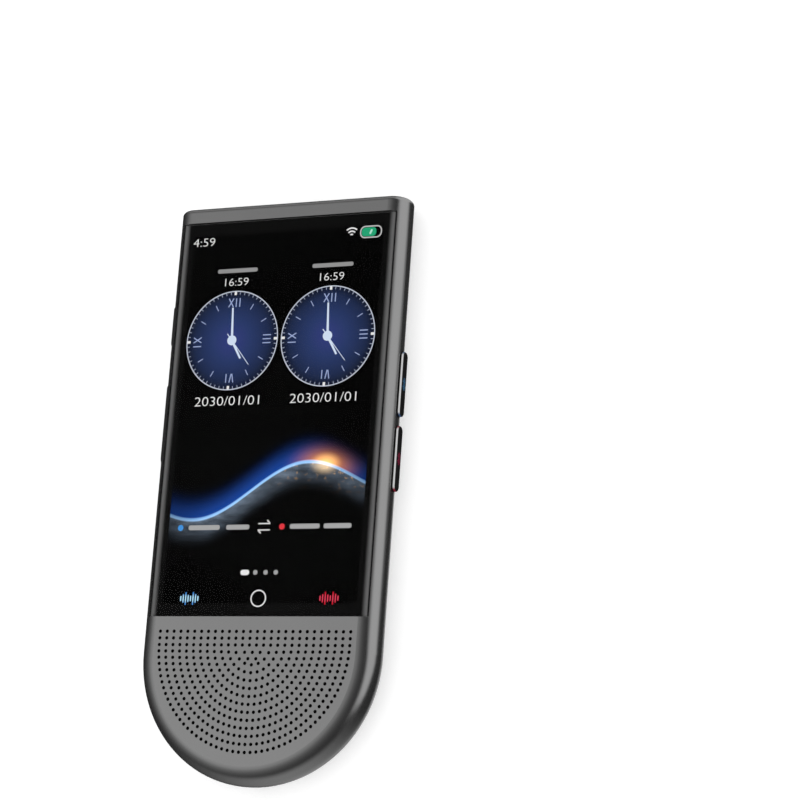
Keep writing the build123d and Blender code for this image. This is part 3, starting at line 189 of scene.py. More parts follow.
class Wire:
    """A value in a shader. Arithmetic on wires adds the Math nodes that do it."""

    def __init__(self, graph, socket):
        self.graph = graph
        self.socket = socket

    def __add__(self, other):
        return self.graph.math("ADD", self, other)

    __radd__ = __add__

    def __sub__(self, other):
        return self.graph.math("SUBTRACT", self, other)

    def __rsub__(self, other):
        return self.graph.math("SUBTRACT", other, self)

    def __mul__(self, other):
        return self.graph.math("MULTIPLY", self, other)

    __rmul__ = __mul__

    def __truediv__(self, other):
        return self.graph.math("DIVIDE", self, other)

    def __rtruediv__(self, other):
        return self.graph.math("DIVIDE", other, self)

    def __pow__(self, other):
        return self.graph.math("POWER", self, other)

    def __gt__(self, other):
        return self.graph.math("GREATER_THAN", self, other)

    def __lt__(self, other):
        return self.graph.math("LESS_THAN", self, other)

    def __mod__(self, other):
        return self.graph.math("FLOORED_MODULO", self, other)

    def __abs__(self):
        return self.graph.math("ABSOLUTE", self)

    def __neg__(self):
        return self.graph.math("SUBTRACT", 0.0, self)


class Graph:
    """A node tree filled from Python."""

    def __init__(self, tree):
        self.tree = tree
        tree.nodes.clear()

    def node(self, kind, settings=None, sockets=None, output=0):
        """Adds a node: its settings first, then the values or links of its sockets."""
        made = self.tree.nodes.new("ShaderNode" + kind)
        for name, value in (settings or {}).items():
            if name == "stops":
                self.fill_ramp(made.color_ramp, value)
            else:
                setattr(made, name, value)
        for name, value in (sockets or {}).items():
            if isinstance(value, Wire):
                self.tree.links.new(value.socket, made.inputs[name])
            else:
                made.inputs[name].default_value = value
        return Wire(self, made.outputs[output]) if made.outputs else None

    @staticmethod
    def fill_ramp(ramp, stops):
        while len(ramp.elements) < len(stops):
            ramp.elements.new(1.0)
        for element, (place, shade) in zip(ramp.elements, stops):
            element.position = place
            element.color = shade

    def math(self, operation, first, second=0.0):
        return self.node("Math", {"operation": operation}, {0: first, 1: second})

    def smallest(self, first, second):
        return self.math("MINIMUM", first, second)

    def largest(self, first, second):
        return self.math("MAXIMUM", first, second)

    def place(self):
        """The point on the piece, in metres."""
        return self.node("TexCoord", {}, {}, "Object")

    def along(self, vector):
        """The three parts of a vector, each a wire."""
        split = self.node("SeparateXYZ", {}, {0: vector})
        parts = split.socket.node.outputs
        return [Wire(self, parts[part]) for part in range(3)]

    def moved(self, vector, location=(0, 0, 0), scale=(1, 1, 1)):
        """The vector stretched, then shifted."""
        return self.node("Mapping", {}, {"Vector": vector, "Location": location, "Scale": scale})

    def towards(self, vector, axis):
        """How far a direction points along an axis: 1 along it, 0 across it."""
        size = math.sqrt(sum(part * part for part in axis))
        unit = [part / size for part in axis]
        return self.node("VectorMath", {"operation": "DOT_PRODUCT"}, {0: vector, 1: unit}, 1)

    def length(self, vector):
        return self.node("VectorMath", {"operation": "LENGTH"}, {0: vector}, 1)

    def from_axis(self, x, y):
        """The distance in metres from the upright axis through a place in millimetres."""
        across, up, _ = self.along(self.moved(self.place(), (-x * MM, -y * MM, 0.0)))
        return (across * across + up * up) ** 0.5

    def step(self, value, low, high):
        """0 below low, 1 above high, smooth between them; either may be the larger."""
        settings = {"interpolation_type": "SMOOTHSTEP"}
        return self.node("MapRange", settings, {0: value, 1: low, 2: high, 3: 0.0, 4: 1.0})

    @staticmethod
    def stripes(count):
        """1 at each whole number of the count, falling straight to 0 half way to the next."""
        return abs(count % 1.0 - 0.5) * 2.0

    @staticmethod
    def spread(value, low, high):
        """Stretches a wire that goes from 0 to 1 to go from low to high."""
        return low + value * (high - low)

    def noise(self, vector, scale, detail=2.0, rough=0.5):
        """Soft noise from 0 to 1, with the scale's number of lumps to the metre."""
        sockets = {"Vector": vector, "Scale": scale, "Detail": detail, "Roughness": rough}
        return self.node("TexNoise", {}, sockets)

    def cells(self, vector, scale):
        """How far the nearest of scattered points is, 1 being a cell; scale cells to the metre."""
        return self.node("TexVoronoi", {}, {"Vector": vector, "Scale": scale})

    def mix(self, factor, first, second):
        """A colour between two colours."""
        return self.node("Mix", {"data_type": "RGBA"}, {0: factor, 6: first, 7: second}, 2)

    def glow(self, factor, first, second):
        """The first colour with the second added to it, as light adds."""
        settings = {"data_type": "RGBA", "blend_type": "ADD"}
        return self.node("Mix", settings, {0: factor, 6: first, 7: second}, 2)

    def bump(self, height, depth, strength):
        """A relief of the height, which goes from 0 to 1, that many millimetres deep."""
        sockets = {"Height": height, "Distance": depth * MM, "Strength": strength}
        return self.node("Bump", {}, sockets)


class Finish(Graph):
    """A material in the making."""

    def __init__(self, name):
        self.material = bpy.data.materials.new(name)
        self.material.use_nodes = True
        super().__init__(self.material.node_tree)

    def grain(self, per_mm):
        """A fine even grain, from 0 to 1."""
        return self.noise(self.place(), per_mm / MM)

    def surface(self, **sockets):
        """Ends the material in one Principled shader and returns the material."""
        named = {name.replace("_", " "): value for name, value in sockets.items()}
        shader = self.node("BsdfPrincipled", {}, named)
        self.node("OutputMaterial", {}, {"Surface": shader})
        return self.material

    def lit(self, tone):
        """Ends the material as part of the lit picture, which shines and hardly mirrors."""
        return self.surface(Base_Color=grey(0), Roughness=0.4, Specular_IOR_Level=0.02,
                            Emission_Color=tone, Emission_Strength=1.0)


# ------------------------------------------------------------------ camera, light, floor
def add_camera():
    """The camera, above the device and to its right."""
    lens = bpy.data.cameras.new("camera")
    lens.lens = CAMERA_LENS
    lens.sensor_width = 36.0
    lens.clip_start = 0.01
    lens.clip_end = 50.0
    camera = bpy.data.objects.new("camera", lens)
    bpy.context.scene.collection.objects.link(camera)
    camera.location = CAMERA_PLACE
    camera.rotation_euler = [radians(turn) for turn in CAMERA_TURN]
    bpy.context.scene.camera = camera


def soft_boxes(studio):
    """The studio's soft boxes, each as bright as it looks in the direction of the ray."""
    direction = studio.node("TexCoord", {}, {}, "Generated")
    across, ahead, height = studio.along(direction)
    step = studio.step

    # A large box above the device's left side, its light falling off gently all round
    angle = studio.math("ARCCOSINE", studio.towards(direction, (-0.53, 0.05, 0.85)))
    overhead = studio.math("EXPONENT", angle / -0.37)
    # A slanted panel low at the right, that draws the bright line along the side
    side = step(ahead, -0.54, -0.36) * step(height, 0.76, 0.46)
    side = side * step(height + ahead * 0.9, -0.45, -0.10) * step(across, 0.0, 0.2)
    # A pale sweep in front of the bottom end, below the eye
    flat = (across * across + ahead * ahead) ** 0.5
    facing = studio.largest(-(ahead + across * 0.09) / flat, 0.0)
    front = facing ** 3.0 * step(height, 0.70, 0.05)
    # A wide dim panel behind the top end
    behind = step(ahead, 0.30, 0.80) * step(height, 0.70, 0.50) * (height > 0.0)
    # A pale ground far below, that the back shows when it is seen from underneath
    ground = studio.largest(step(ahead, 0.35, 0.50) * step(height, -0.30, -0.55),
                            step(across, 0.0, -0.30) * step(height, -0.84, -0.94))
    ground = studio.largest(ground, step(height, -0.96, -0.99))
    return (overhead * OVERHEAD_LIGHT, side * SIDE_LIGHT, front * FRONT_LIGHT,
            behind * BEHIND_LIGHT, ground * GROUND_LIGHT)


def light_scene():
    """Even light all round, and a studio of soft boxes that only shiny surfaces show."""
    world = bpy.data.worlds.new("studio")
    bpy.context.scene.world = world
    world.use_nodes = True
    studio = Graph(world.node_tree)
    shiny = ROOM_LIGHT
    for soft_box in soft_boxes(studio):
        shiny = studio.largest(soft_box, shiny)

    path = studio.node("LightPath").socket.node.outputs
    matt_before = studio.smallest(Wire(studio, path["Diffuse Depth"]), 1.0)
    mirrored = Wire(studio, path["Is Glossy Ray"]) * (1 - matt_before)
    seen = studio.smallest(Wire(studio, path["Is Camera Ray"])
                           + Wire(studio, path["Is Transmission Ray"]), 1.0)
    even = studio.spread(seen, EVEN_LIGHT, 1.0)
    level = studio.spread(mirrored, even, shiny)
    light = studio.node("Background", {}, {"Color": grey(255), "Strength": level})
    studio.node("OutputWorld", {}, {"Surface": light})


def add_floor():
    """A pale floor that shows white, keeps the shadow and can be seen through from below."""
    bpy.ops.mesh.primitive_grid_add(x_subdivisions=2, y_subdivisions=2, size=FLOOR_SIZE,
                                    location=(0.0, 0.0, -FLOOR_DROP * MM))
    floor = settle(take("floor"))
    paper = Finish("floor_paper")
    straight = paper.node("LightPath", {}, {}, "Is Camera Ray")
    behind = paper.node("NewGeometry", {}, {}, "Backfacing")
    fibre = paper.noise(paper.place(), 900.0)
    matt = paper.node("BsdfDiffuse", {}, {0: paper.mix(fibre, grey(250), grey(255))})
    white = paper.node("Emission", {}, {"Color": grey(255), "Strength": 0.35})
    shown = paper.node("AddShader", {}, {0: matt, 1: white})
    clear = paper.node("BsdfTransparent")
    both = paper.node("MixShader", {}, {0: straight * (1 - behind), 1: clear, 2: shown})
    paper.node("OutputMaterial", {}, {"Surface": both})
    floor.data.materials.append(paper.material)


# ------------------------------------------------------------------ finishes
def anodised(name, base, light):
    """Bead-blasted and anodised aluminium: a fine even grain and faint clouds."""
    metal = Finish(name)
    grain = metal.grain(9.0)
    clouds = metal.noise(metal.place(), 45.0, 3.0)
    return metal.surface(
        Base_Color=metal.mix(grain * 0.6 + clouds * 0.4, base, light), Metallic=1.0,
        Roughness=metal.spread(grain, 0.20, 0.27), Normal=metal.bump(grain, 0.004, 0.3))


def moulded_plastic(name, base, light):
    """Spark-eroded plastic, with a fine even grain."""
    plastic = Finish(name)
    grain = plastic.grain(6.0)
    patches = plastic.noise(plastic.place(), 300.0)
    return plastic.surface(
        Base_Color=plastic.mix(grain * 0.5 + patches * 0.3, base, light),
        Roughness=plastic.spread(grain, 0.44, 0.56), Specular_IOR_Level=0.4,
        Normal=plastic.bump(grain, 0.008, 0.5))


def drawn_metal(name, base, light, roughness=0.3, along=(1, 12, 12)):
    """Rolled or brushed metal, its lines running along one axis."""
    metal = Finish(name)
    lines = metal.noise(metal.moved(metal.place(), scale=along), 900.0, 3.0)
    stains = metal.noise(metal.place(), 220.0)
    return metal.surface(
        Base_Color=metal.mix(lines * 0.7 + stains * 0.3, base, light), Metallic=1.0,
        Roughness=metal.spread(lines, roughness - 0.08, roughness + 0.08),
        Normal=metal.bump(lines, 0.004, 0.5))


def turned_metal(name, base, light, roughness=0.22):
    """Metal turned on a lathe: fine rings round the middle of the camera bump."""
    metal = Finish(name)
    radius = metal.from_axis(0.0, CAMERA_BUMP_Y)
    rings = metal.noise(metal.node("CombineXYZ", {}, {0: radius}), 9000.0)
    return metal.surface(
        Base_Color=metal.mix(rings, base, light), Metallic=1.0,
        Roughness=metal.spread(rings, roughness - 0.06, roughness + 0.08),
        Normal=metal.bump(rings, 0.003, 0.4))


def cover_glass(name):
    """Clear glass with a coating that takes away most of its reflection."""
    glass = Finish(name)
    smudge = glass.noise(glass.place(), 90.0, 3.0)
    return glass.surface(
        Base_Color=glass.mix(smudge, grey(252), grey(255)),
        Roughness=glass.spread(glass.step(smudge, 0.55, 0.75), 0.02, 0.035),
        Transmission_Weight=1.0, IOR=1.12)


def printed_black(name):
    """Screen-printed ink, glossy, with the trace of the mesh it went through."""
    ink = Finish(name)
    across, up, _ = ink.along(ink.place())
    weave = (across * 9000.0 % 1.0) * (up * 9000.0 % 1.0)
    speck = ink.noise(ink.place(), 4000.0)
    return ink.surface(
        Base_Color=ink.mix(speck * 0.5 + weave * 0.2, grey(6), grey(14)),
        Roughness=ink.spread(speck, 0.25, 0.35), Specular_IOR_Level=0.2)


def border_ink_with_reflection(name):
    """The screen's black border, with a painted reflection of the glass's curved long edges: it
    fades to grey towards them.
    """
    ink = Finish(name)
    across = ink.along(ink.place())[0]
    from_edge = GLASS_HIGH.x - abs(across) / MM
    # fade: where the painted reflection of the curved edge lies, grey on the black ink
    fade = ink.step(from_edge, *BORDER_REFLECTION) * ink.step(from_edge, *BORDER_RIM)
    speck = ink.noise(ink.place(), 4000.0)
    return ink.surface(
        Base_Color=ink.mix(fade, ink.mix(speck, grey(3), grey(8)), grey(108)),
        Roughness=ink.spread(speck, 0.25, 0.35), Specular_IOR_Level=0.05)


def soft_foam(name, base, light):
    """Open-cell foam or tape."""
    foam = Finish(name)
    pores = foam.cells(foam.place(), 5200.0)
    return foam.surface(
        Base_Color=foam.mix(pores, base, light), Roughness=0.85, Specular_IOR_Level=0.2,
        Normal=foam.bump(pores, 0.04, 0.7))


def flexible_circuit(name):
    """Amber film over copper tracks that run along the strip."""
    film = Finish(name)
    across = film.along(film.place())[0]
    tracks = film.step(film.stripes(across * 1600.0), 0.32, 0.44)
    haze = film.noise(film.place(), 700.0)
    amber = film.mix(haze, colour(96, 52, 14), colour(140, 80, 26))
    return film.surface(
        Base_Color=film.mix(tracks, amber, colour(196, 122, 62)),
        Roughness=film.spread(haze, 0.28, 0.40), Metallic=tracks * 0.5,
        Normal=film.bump(tracks, 0.01, 0.5))


def circuit_board(name):
    """Green lacquer over tracks, with tinned pads."""
    board = Finish(name)
    across, up, _ = board.along(board.place())
    bent = board.noise(board.place(), 240.0, 0.0)
    lines = board.step(board.stripes(across * 1100.0 + bent * 6.0), 0.30, 0.40)
    cross = board.step(board.stripes(up * 700.0 + bent * 5.0), 0.24, 0.32)
    patch = board.cells(board.place(), 190.0) > 0.42
    lacquer = board.mix(patch, colour(16, 66, 34), colour(28, 92, 46))
    tracks = board.mix(lines * cross, lacquer, colour(36, 112, 58))
    pads = board.cells(board.place(), 1000.0) < 0.22
    return board.surface(
        Base_Color=board.mix(pads, tracks, colour(206, 196, 160)), Metallic=pads * 0.9,
        Roughness=board.spread(pads, 0.38, 0.25),
        Normal=board.bump(lines * cross, 0.02, 0.6))


def chip_resin(name):
    """Moulded black chip, with a rough top and faint laser marks in rows."""
    chip = Finish(name)
    up = chip.along(chip.place())[1]
    grain = chip.grain(14.0)
    rows = chip.step(chip.stripes(up * 750.0), 0.76, 0.84)
    dashes = chip.noise(chip.moved(chip.place(), scale=(1, 0.1, 1)), 2600.0) > 0.55
    resin = chip.mix(grain, grey(26), grey(38))
    return chip.surface(
        Base_Color=chip.mix(rows * dashes * 0.35, resin, grey(120)),
        Roughness=chip.spread(grain, 0.5, 0.62), Normal=chip.bump(grain, 0.01, 0.5))


def foil_wrap(name):
    """Matt battery foil with soft creases."""
    foil = Finish(name)
    crease = foil.noise(foil.moved(foil.place(), scale=(1, 3, 1)), 120.0, 4.0, 0.6)
    return foil.surface(
        Base_Color=foil.mix(crease * 0.7 + foil.grain(8.0) * 0.3, grey(118), grey(176)),
        Metallic=0.8, Roughness=foil.spread(crease, 0.32, 0.5),
        Normal=foil.bump(crease, 0.12, 0.6))


def wound_coil(name):
    """Lacquered copper wire, turn on turn."""
    coil = Finish(name)
    rise = coil.along(coil.place())[2]
    turns = coil.stripes(rise * 9000.0)
    rub = coil.noise(coil.place(), 1800.0)
    return coil.surface(
        Base_Color=coil.mix(turns * 0.6 + rub * 0.4, colour(122, 58, 26), colour(216, 128, 78)),
        Metallic=1.0, Roughness=coil.spread(rub, 0.24, 0.36),
        Normal=coil.bump(turns, 0.06, 0.8))


def woven_mesh(name):
    """Dark woven dust cloth behind the grille."""
    cloth = Finish(name)
    across, up, _ = cloth.along(cloth.place())
    thread = cloth.largest(cloth.stripes(across * 7000.0), cloth.stripes(up * 7000.0))
    return cloth.surface(
        Base_Color=cloth.mix(thread, grey(6), grey(26)), Roughness=0.7,
        Specular_IOR_Level=0.2, Normal=cloth.bump(thread, 0.04, 0.6))


def paper_cone(name):
    """Pressed black fibre of the loudspeaker's diaphragm."""
    cone = Finish(name)
    fibre = cone.noise(cone.moved(cone.place(), scale=(1, 1, 3)), 2400.0, 4.0, 0.7)
    return cone.surface(
        Base_Color=cone.mix(fibre, grey(18), grey(44)), Roughness=0.75,
        Normal=cone.bump(fibre, 0.03, 0.6))


def backlight_film(name):
    """White diffuser film with its fine dot pattern."""
    film = Finish(name)
    dots = film.cells(film.place(), 3000.0)
    return film.surface(
        Base_Color=film.mix(dots, grey(226), grey(246)), Roughness=0.55,
        Normal=film.bump(dots, 0.01, 0.4))


def display_glass(name):
    """The display cell: dark polarised glass with a green-grey edge."""
    panel = Finish(name)
    haze = panel.noise(panel.place(), 500.0)
    return panel.surface(
        Base_Color=panel.mix(haze, colour(14, 17, 18), colour(26, 31, 32)),
        Roughness=panel.spread(haze, 0.10, 0.18), Coat_Weight=0.3)


def camera_lens(name, tint):
    """A small coated lens: near black, with a faint blue bloom."""
    lens = Finish(name)
    haze = lens.noise(lens.place(), 600.0)
    edge = lens.node("LayerWeight", {}, {"Blend": 0.35}, "Facing")
    return lens.surface(
        Base_Color=lens.mix(edge * 0.8 + haze * 0.2, tint, colour(4, 6, 12)),
        Roughness=lens.spread(haze, 0.02, 0.05), Coat_Weight=1.0, Coat_Roughness=0.02,
        Specular_IOR_Level=0.8)


def flash_dome(name):
    """Frosted flash lens with the fine steps of a Fresnel lens and a speckle."""
    dome = Finish(name)
    steps = (dome.from_axis(0.0, CAMERA_BUMP_Y) * 5200.0) % 1.0
    speck = dome.cells(dome.place(), 3200.0)
    return dome.surface(
        Base_Color=dome.mix(steps * 0.4 + speck * 0.5, colour(206, 204, 190), grey(158)),
        Roughness=dome.spread(speck, 0.12, 0.30), Coat_Weight=0.6,
        Normal=dome.bump(steps, 0.04, 0.7))


def frosted_edge(name):
    """The paler edge round the flash's face."""
    edge = Finish(name)
    grain = edge.grain(14.0)
    return edge.surface(
        Base_Color=edge.mix(grain, colour(222, 220, 206), grey(236)), Roughness=0.3,
        Specular_IOR_Level=0.3, Normal=edge.bump(grain, 0.004, 0.4))


def led_phosphor(name):
    """The yellow phosphor of the flash's lamp."""
    led = Finish(name)
    grain = led.grain(12.0)
    return led.surface(
        Base_Color=led.mix(grain, colour(206, 178, 58), colour(240, 220, 120)),
        Roughness=0.5, Normal=led.bump(grain, 0.01, 0.5))


def key_black(name):
    """Black anodised key with a soft bead-blasted face."""
    key = Finish(name)
    grain = key.grain(11.0)
    clouds = key.noise(key.place(), 260.0)
    return key.surface(
        Base_Color=key.mix(grain * 0.4 + clouds * 0.4, grey(16), grey(46)),
        Metallic=0.5, Roughness=key.spread(grain, 0.30, 0.42),
        Normal=key.bump(grain, 0.006, 0.5))


def key_coloured(name, key_y, deep):
    """A translation key: black, with a painted highlight in a bright band round it that turns
    coloured at its ends.
    """
    key = Finish(name)
    across, up, _ = key.along(key.place())
    grain = key.grain(11.0)
    depth = KEY_FACE_X - across / MM
    from_end = KEY_HALF_LENGTH - abs(up / MM - key_y)
    # The band is a painted highlight of the key's proud edge: white, tinted blue or red towards
    # its ends
    highlight_band = key.step(depth, *KEY_HIGHLIGHT_TOP) * key.step(depth, *KEY_HIGHLIGHT_FOOT)
    ends = key.step(from_end, *KEY_HIGHLIGHT_ENDS)
    black = key.mix(grain, grey(10), grey(20))
    highlight = key.mix(ends, key.mix(grain, grey(214), grey(228)), deep)
    return key.surface(
        Base_Color=key.mix(highlight_band, black, highlight), Metallic=(1 - highlight_band) * 0.2,
        Roughness=key.spread(grain, 0.26, 0.36), Specular_IOR_Level=0.2,
        Normal=key.bump(grain, 0.006, 0.4))


def key_paint(name, shade):
    """Paint of the sign on a translation key."""
    paint = Finish(name)
    grain = paint.grain(14.0)
    return paint.surface(
        Base_Color=paint.mix(grain, darker(shade, 0.7), shade), Roughness=0.4,
        Specular_IOR_Level=0.3, Normal=paint.bump(grain, 0.004, 0.4))


def finish_nodes():
    """Gives every solid of the device its finish."""
    body_metal = anodised("body_anodised", grey(145), grey(158))
    steel = drawn_metal("rolled_steel", grey(150), grey(196))
    tin = drawn_metal("tinned_sheet", grey(172), grey(214), 0.26, (12, 1, 12))
    black = moulded_plastic("black_resin", grey(14), grey(30))
    chip = chip_resin("chip_resin")
    flex = flexible_circuit("flexible_circuit")
    tape = soft_foam("grey_tape", grey(38), grey(70))
    barrel = turned_metal("barrel_black", grey(18), grey(44), 0.35)
    finishes = {
        "front_housing": body_metal,
        "back_cover": body_metal,
        "camera_rim": turned_metal("rim_metal", grey(60), grey(104)),
        "front_glass": cover_glass("cover_glass"),
        "camera_window": cover_glass("camera_window"),
        "camera_mask": printed_black("camera_ink"),
        "glass_adhesive": tape,
        "battery_adhesive": tape,
        "microphone_boot": soft_foam("rubber_boot", grey(14), grey(30)),
        "speaker_gasket": soft_foam("gasket_foam", grey(22), grey(48)),
        "display_cell": display_glass("display_panel"),
        "display_backlight": backlight_film("diffuser_film"),
        "grille_mesh": woven_mesh("dust_cloth"),
        "speaker_frame": black,
        "usb_tongue": black,
        "camera_body_lower": black,
        "camera_body_upper": black,
        "speaker_diaphragm": paper_cone("diaphragm_fibre"),
        "voice_coil": wound_coil("copper_wire"),
        "speaker_magnet": drawn_metal("magnet_nickel", grey(120), grey(160), 0.34),
        "mid_frame": drawn_metal("cast_frame", grey(128), grey(158), 0.46, (3, 3, 3)),
        "screws": drawn_metal("screw_steel", grey(104), grey(150), 0.30, (6, 6, 1)),
        "main_board": circuit_board("board_lacquer"),
        "battery_cell": foil_wrap("battery_foil"),
        "sim_tray": anodised("tray_anodised", grey(145), grey(158)),
        "lens_rings": turned_metal("lens_ring_metal", grey(110), grey(170)),
        "camera_barrel_lower": barrel,
        "camera_barrel_upper": barrel,
        "camera_lens_lower": camera_lens("lens_coating_lower", colour(28, 38, 92)),
        "camera_lens_upper": camera_lens("lens_coating_upper", colour(34, 34, 84)),
        "flash_led": led_phosphor("led_phosphor"),
        "flash_lens": flash_dome("flash_dome"),
        "power_key": key_black("power_key_black"),
        "volume_key": key_black("volume_key_black"),
        "blue_key": key_coloured("blue_key_metal", middle("blue_key").y, colour(62, 86, 120)),
        "red_key": key_coloured("red_key_metal", middle("red_key").y, colour(132, 14, 44)),
    }
    for name in ("display_tray", "pole_plate", "speaker_yoke", "usb_shell",
                 "switch_bracket_left", "switch_bracket_right"):
        finishes[name] = steel
    for name in ("processor_shield", "radio_shield", "sim_socket", "microphone_top",
                 "microphone_bottom", "vibration_motor"):
        finishes[name] = tin
    for name in ("display_flex", "camera_flexes", "battery_protection", "antenna_wifi",
                 "antenna_cellular"):
        finishes[name] = flex
    for name in ("processor_chip", "memory_chip", "radio_chip"):
        finishes[name] = chip
    for name in ("tact_switches_left", "tact_switches_right"):
        finishes[name] = drawn_metal(name + "_metal", grey(150), grey(200))
    for name, node in nodes.items():
        node.data.materials[0] = finishes[name]


# ------------------------------------------------------------------ making pieces
def take(name):
    """The piece just added, with its own name."""
    piece = bpy.context.object
    piece.name = name
    piece.data.name = name
    return piece


def pick(piece):
    """Makes the piece the only one selected, and active."""
    bpy.ops.object.select_all(action="DESELECT")
    piece.select_set(True)
    bpy.context.view_layer.objects.active = piece


def settle(piece):
    """Puts the piece's place, turn and size into its mesh."""
    pick(piece)
    bpy.ops.object.transform_apply(location=True, rotation=True, scale=True)
    return piece


def edit(piece):
    """Opens a piece in edit mode with all of it selected."""
    pick(piece)
    bpy.ops.object.mode_set(mode="EDIT")
    bpy.ops.mesh.select_all(action="SELECT")


def edit_corners(piece, chosen):
    """Opens a piece in edit mode with only those corners selected that the test takes."""
    edit(piece)
    bpy.ops.mesh.select_all(action="DESELECT")
    leave()
    for vertex in piece.data.vertices:
        vertex.select = chosen(vertex.co)
    bpy.ops.object.mode_set(mode="EDIT")


def leave():
    bpy.ops.object.mode_set(mode="OBJECT")


def hollow(wall):
    """In edit mode: leaves only the outline of a flat sheet, as wide as the wall."""
    bpy.ops.mesh.select_all(action="SELECT")
    bpy.ops.mesh.inset(thickness=wall * MM)
    bpy.ops.mesh.delete(type="FACE")


def thicken(thickness=SHEET):
    """In edit mode: gives a flat sheet its thickness, upwards."""
    bpy.ops.mesh.select_all(action="SELECT")
    bpy.ops.mesh.extrude_region_move(TRANSFORM_OT_translate={"value": (0, 0, thickness * MM)})
    bpy.ops.mesh.select_all(action="SELECT")
    bpy.ops.mesh.normals_make_consistent(inside=False)


def bar(name, x, y, width, height, level, corner=0.0, turn=0.0, thickness=SHEET, wall=0.0):
    """A flat bar, its corners rounded, lying at the level; with a wall, only its outline."""
    bpy.ops.mesh.primitive_plane_add(
        size=1.0, location=(x * MM, y * MM, level * MM), rotation=(0, 0, turn))
    piece = take(name)
    piece.scale = (width * MM, height * MM, 1.0)
    edit(settle(piece))
    if corner:
        bpy.ops.mesh.bevel(offset=corner * MM, segments=6, affect="VERTICES")
    if wall:
        hollow(wall)
    thicken(thickness)
    leave()
    return piece


def disc(name, x, y, radius, level, corners=48, hole=0.0):
    """A flat disc lying at the level; with a hole, whose radius is given, a flat ring."""
    bpy.ops.mesh.primitive_circle_add(
        vertices=corners, radius=radius * MM, fill_type="NGON",
        location=(x * MM, y * MM, level * MM))
    piece = settle(take(name))
    edit(piece)
    if hole:
        hollow((radius - hole) * cos(pi / corners))
    thicken()
    leave()
    return piece


def again(piece, name, change):
    """A copy of a piece, with its own mesh, moved or turned by the matrix."""
    other = piece.copy()
    other.data = piece.data.copy()
    other.name = name
    other.data.name = name
    bpy.context.scene.collection.objects.link(other)
    other.data.transform(change)
    return other


def joined(pieces, name):
    """One piece made of several."""
    pick(pieces[0])
    for piece in pieces:
        piece.select_set(True)
    bpy.ops.object.join()
    return take(name)


def turn_about(x, y, turn):
    """A turn about an upright axis."""
    centre = move_by(x, y)
    return centre @ Matrix.Rotation(turn, 4, "Z") @ centre.inverted()


def move_by(x, y, z=0.0):
    return Matrix.Translation((x * MM, y * MM, z * MM))


def writing(name, body, x, y, width, height):
    """Figures among the marks, centred on their place, stretched to the width and height."""
    bpy.ops.object.text_add(location=(0, 0, 0))
    line = take(name)
    line.data.body = body
    line.data.size = 10.0 * MM
    line.data.resolution_u = 4
    line.data.offset = -0.12 * MM  # thins the strokes
    line.data.extrude = 0.5 * SHEET * MM
    bpy.ops.object.convert(target="MESH")
    piece = take(name)
    across = [vertex.co.x for vertex in piece.data.vertices]
    up = [vertex.co.y for vertex in piece.data.vertices]
    centred = Matrix.Translation(
        (-(min(across) + max(across)) / 2, -(min(up) + max(up)) / 2, 0.0))
    stretched = Matrix.Diagonal(
        (width * MM / (max(across) - min(across)), height * MM / (max(up) - min(up)), 1, 1))
    piece.data.transform(move_by(x, y, MARK_LEVEL + 0.5 * SHEET) @ stretched @ centred)
    return piece


def fit(piece, finish, body="body"):
    """Gives a piece its finish and the body that it rides on."""
    piece.data.materials.clear()
    piece.data.materials.append(finish)
    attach(piece, body)


# ------------------------------------------------------------------ the screen's finishes
def glowing(name, shade):
    """A mark of the lit picture, with the panel's fine raster."""
    light = Finish(name)
    across, up, _ = light.along(light.place())
    raster = light.largest(light.stripes(across / MM * RASTER), light.stripes(up / MM * RASTER))
    return light.lit(light.mix(raster, shade, darker(shade, 0.88)))


def dial_glow(name, x):
    """The dial's ground: indigo in the middle, navy at its rim."""
    light = Finish(name)
    radius = light.from_axis(x, DIAL_Y) / (DIAL_RADIUS * MM)
    cloud = light.noise(light.place(), 130.0)
    return light.lit(light.node("ValToRGB", {"stops": [
        (0.0, colour(52, 60, 124)),
        (0.45, colour(40, 56, 102)),
        (0.85, colour(30, 42, 74)),
        (1.0, colour(18, 24, 42))]}, {0: radius + cloud * 0.08}))


def voice_glow(name, tip, core):
    """The light of a voice sign, brighter along its middle."""
    light = Finish(name)
    across, up, _ = light.along(light.place())
    inner = light.step(abs(up / MM - BOTTOM_Y), 1.3, 0.3)
    return light.lit(light.mix(inner - light.stripes(across / MM * RASTER) * 0.05, tip, core))


